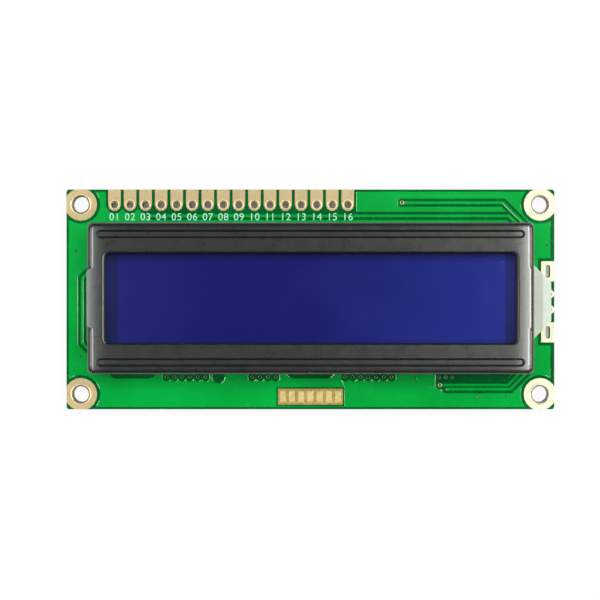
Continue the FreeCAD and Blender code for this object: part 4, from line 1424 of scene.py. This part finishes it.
FOIL = COPPER_TOP - BOARD_FRONT
TENTED_LINE = -12.7
VIAS = (
    Vias("tented_vias", "via_rim", (
        ViaRow((-23.5, TENTED_LINE), count=6),
        ViaRow((-9.5, TENTED_LINE), count=4),
        ViaRow((5.65, TENTED_LINE), count=7),
        ViaRow((21.0, TENTED_LINE), count=3, pitch=1.1),
    ), radius=0.22 * MM, wire=0.05 * MM),
    Vias("bare_vias", "land_gilt", (
        ViaRow((14.95, 15.8)),
        ViaRow((21.15, -14.0)),
    ), radius=0.27 * MM, wire=0.08 * MM, lift=FOIL),
    Vias("pour_vias", "copper_lacquer", (
        ViaRow((-38.25, 7.9)),
        ViaRow((-37.57, -9.2)),
        ViaRow((38.6, 8.85)),
        ViaRow((17.1, -13.0)),
        ViaRow((27.5, -15.9)),
        ViaRow((31.9, -15.85)),
    ), radius=0.2 * MM, wire=0.03 * MM, lift=FOIL),
)


def mount_bores() -> tuple[Pair, ...]:
    """Middles of the four mounting holes, in metres."""
    length, width = 75.0 * MM, 31.0 * MM
    return tuple((x * length / 2, y * width / 2) for x in (-1, 1) for y in (-1, 1))


def header_bores() -> tuple[Pair, ...]:
    """Middles of the header lands' bores, each at the middle of its land's round end, in metres."""
    boxes = [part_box(f"header_land_{index:02d}") for index in range(1, HEADER_LANDS + 1)]
    return tuple(((low.x + high.x) / 2, low.y + (high.x - low.x) / 2) for low, high in boxes)


# Lips wear painted highlight; the rims are dark rings of painted shade at the bore walls
BORE_RINGS = (
    BoreRings("mount_lip_highlights", "lip_highlight_gilt", mount_bores(), radius=1.62 * MM, wire=0.1 * MM),
    BoreRings("mount_rim_shade", "bore_shade", mount_bores(), radius=1.41 * MM, wire=0.1 * MM),
    BoreRings("header_lip_highlights", "lip_highlight_gilt", header_bores(), radius=0.74 * MM, wire=0.1 * MM,
              flatness=0.2, around=28, section=8),
    BoreRings("header_rim_shade", "bore_shade", header_bores(), radius=0.56 * MM, wire=0.06 * MM,
              around=28, section=8),
)


# Stage


@dataclass(frozen=True)
class SoftLight:
    """A rectangular light that faces the module.

    The main light lights evenly and isn't mirrored. A reflector card is only mirrored, in shiny surfaces.

    Attributes:
        name: the light's name.
        place: where it hangs, in metres.
        size: its width and height, in metres.
        power: in watts.
        tint: colour of a reflector card; none for the main light.
    """

    name: str
    place: Point
    size: Pair
    power: float
    tint: Tint | None = None

    def build(self) -> None:
        """Hang the light."""
        data = bpy.data.lights.new(self.name, "AREA")
        data.shape = "RECTANGLE"
        data.size, data.size_y = self.size
        data.energy = self.power
        light = bpy.data.objects.new(self.name, data)
        light.location = self.place
        light.rotation_euler = facing_turn(Vector(self.place), Vector((0.0, 0.0, BEZEL_TOP)))
        light.visible_diffuse = self.tint is None
        light.visible_glossy = self.tint is not None
        if self.tint is not None:
            data.color = self.tint.value
        bpy.context.scene.collection.objects.link(light)


LIGHTS = (
    SoftLight("key", place=(0.0, 0.16, 0.66), size=(0.8, 0.3), power=3.0),
    SoftLight("right_panel", place=(0.3, 0.0, 0.55), size=(0.16, 0.8), power=7.4, tint=Tint.WARM),
    SoftLight("left_panel", place=(-0.32, 0.0, 0.55), size=(0.1, 0.8), power=2.9, tint=Tint.COOL),
    SoftLight("right_strip", place=(0.49, 0.0, 0.47), size=(0.28, 0.5), power=9.0, tint=Tint.CREAM),
    SoftLight("left_strip", place=(-0.49, 0.0, 0.47), size=(0.26, 0.5), power=6.0, tint=Tint.CREAM),
    SoftLight("corner_card", place=(0.38, 0.3, 0.45), size=(0.14, 0.2), power=2.2, tint=Tint.CREAM),
)


@dataclass(frozen=True)
class Floor:
    """White floor below the tabs, which keeps a faint shadow.

    Attributes:
        reach: half its side, in metres.
        white: how much light it gives back.
        rough: roughness.
        gloss: specular level.
        seen: how much of plain white the camera sees where the floor is clear of the module.
        corners: how far along X and Y the corners with the mounting holes begin, which count as clear.
    """

    reach: float = 2.0
    white: float = 0.95
    rough: float = 0.9
    gloss: float = 0.1
    seen: float = 0.9
    corners: Pair = (35.0 * MM, 12.0 * MM)

    def clear(self, shader: Shader) -> Socket:
        """Mark what is past the board or seen through its corner holes.

        Args:
            shader: the floor's material.

        Returns:
            Socket that is 1 there and 0 elsewhere.
        """
        x, y, _ = shader.split(shader.place)
        sides = [shader.math("ABSOLUTE", side) for side in (x, y)]
        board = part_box("circuit_board")[1]
        corner = [shader.math("GREATER_THAN", side, limit) for side, limit in zip(sides, self.corners)]
        past = [shader.math("GREATER_THAN", side, limit) for side, limit in zip(sides, board)]
        return shader.math("MAXIMUM", shader.math("MULTIPLY", *corner), shader.math("MAXIMUM", *past))

    def material(self) -> bpy.types.Material:
        """Make the floor's material.

        Returns:
            The material.
        """
        shader = Shader("floor_white")
        white = rgba((self.white, self.white, self.white))
        shader.principled(Base_Color=white, Roughness=self.rough, Specular_IOR_Level=self.gloss)
        camera = shader.add("ShaderNodeLightPath").outputs["Is Camera Ray"]
        seen = shader.math("MULTIPLY", shader.math("MULTIPLY", camera, self.seen), self.clear(shader))
        glow = shader.add("ShaderNodeEmission")
        blend = shader.add("ShaderNodeMixShader")
        for target, source in zip(blend.inputs, (seen, shader.surface.outputs[0], glow.outputs[0])):
            shader.join(source, target)
        shader.join(blend.outputs[0], shader.output.inputs["Surface"])
        return shader.material

    def build(self) -> None:
        """Lay the floor."""
        mesh = bpy.data.meshes.new("floor")
        signs = ((-1, -1), (1, -1), (1, 1), (-1, 1))
        mesh.from_pydata([(x * self.reach, y * self.reach, 0.0) for x, y in signs], [], [(0, 1, 2, 3)])
        mesh.materials.append(self.material())
        floor = bpy.data.objects.new("floor", mesh)
        bpy.context.scene.collection.objects.link(floor)


@dataclass(frozen=True)
class Surroundings:
    """Even white surroundings, dim where they would be mirrored.

    Attributes:
        ambient: their strength.
        mirrored: their strength in shiny surfaces.
    """

    ambient: float = 0.64
    mirrored: float = 0.015

    def build(self) -> None:
        """Make them the scene's world."""
        world = bpy.data.worlds.new("surroundings")
        world.use_nodes = True
        tree = world.node_tree
        background = tree.nodes["Background"]
        background.inputs[0].default_value = (1.0, 1.0, 1.0, 1.0)
        path = tree.nodes.new("ShaderNodeLightPath")
        dim = tree.nodes.new("ShaderNodeMapRange")
        tree.links.new(path.outputs["Is Glossy Ray"], dim.inputs["Value"])
        dim.inputs["To Min"].default_value = self.ambient
        dim.inputs["To Max"].default_value = self.mirrored
        tree.links.new(dim.outputs["Result"], background.inputs[1])
        bpy.context.scene.world = world


@dataclass(frozen=True)
class PhotoCamera:
    """Camera at the photograph's place, framed as the photograph.

    Attributes:
        field_width: width of what it sees where it aims, in metres.
        sensor: width of its sensor, in millimetres.
        nearest: distance from which it sees, in metres.
    """

    field_width: float = 98.04 * MM
    sensor: float = 36.0
    nearest: float = 0.01

    def build(self) -> None:
        """Set it up."""
        eye, aim = Vector(View.EYE.value) * MM, Vector(View.AIM.value) * MM
        data = bpy.data.cameras.new("camera")
        data.sensor_fit = "HORIZONTAL"
        data.sensor_width = self.sensor
        data.lens = self.sensor * (eye - aim).length / self.field_width
        data.clip_start = self.nearest
        camera = bpy.data.objects.new("camera", data)
        camera.location = eye
        camera.rotation_euler = facing_turn(eye, aim)
        bpy.context.scene.collection.objects.link(camera)
        bpy.context.scene.camera = camera


def main() -> None:
    """Build the looks in order."""
    logging.basicConfig(level=logging.INFO, format="%(message)s")
    finishes = Finishes()
    finishes.build()
    finishes.dress(frame["nodes"])
    LOG.info("finishes: %d materials", len(finishes.materials))
    for part in (CoatedCopper(), *VIAS, PinNumbers(), *BORE_RINGS, ChipParts()):
        part.build(finishes.materials)
    bpy.context.scene.view_settings.view_transform = "Standard"
    for part in (Floor(), Surroundings(), *LIGHTS, PhotoCamera()):
        part.build()
    LOG.info("studio ready")


if __name__ == "__main__":
    main()
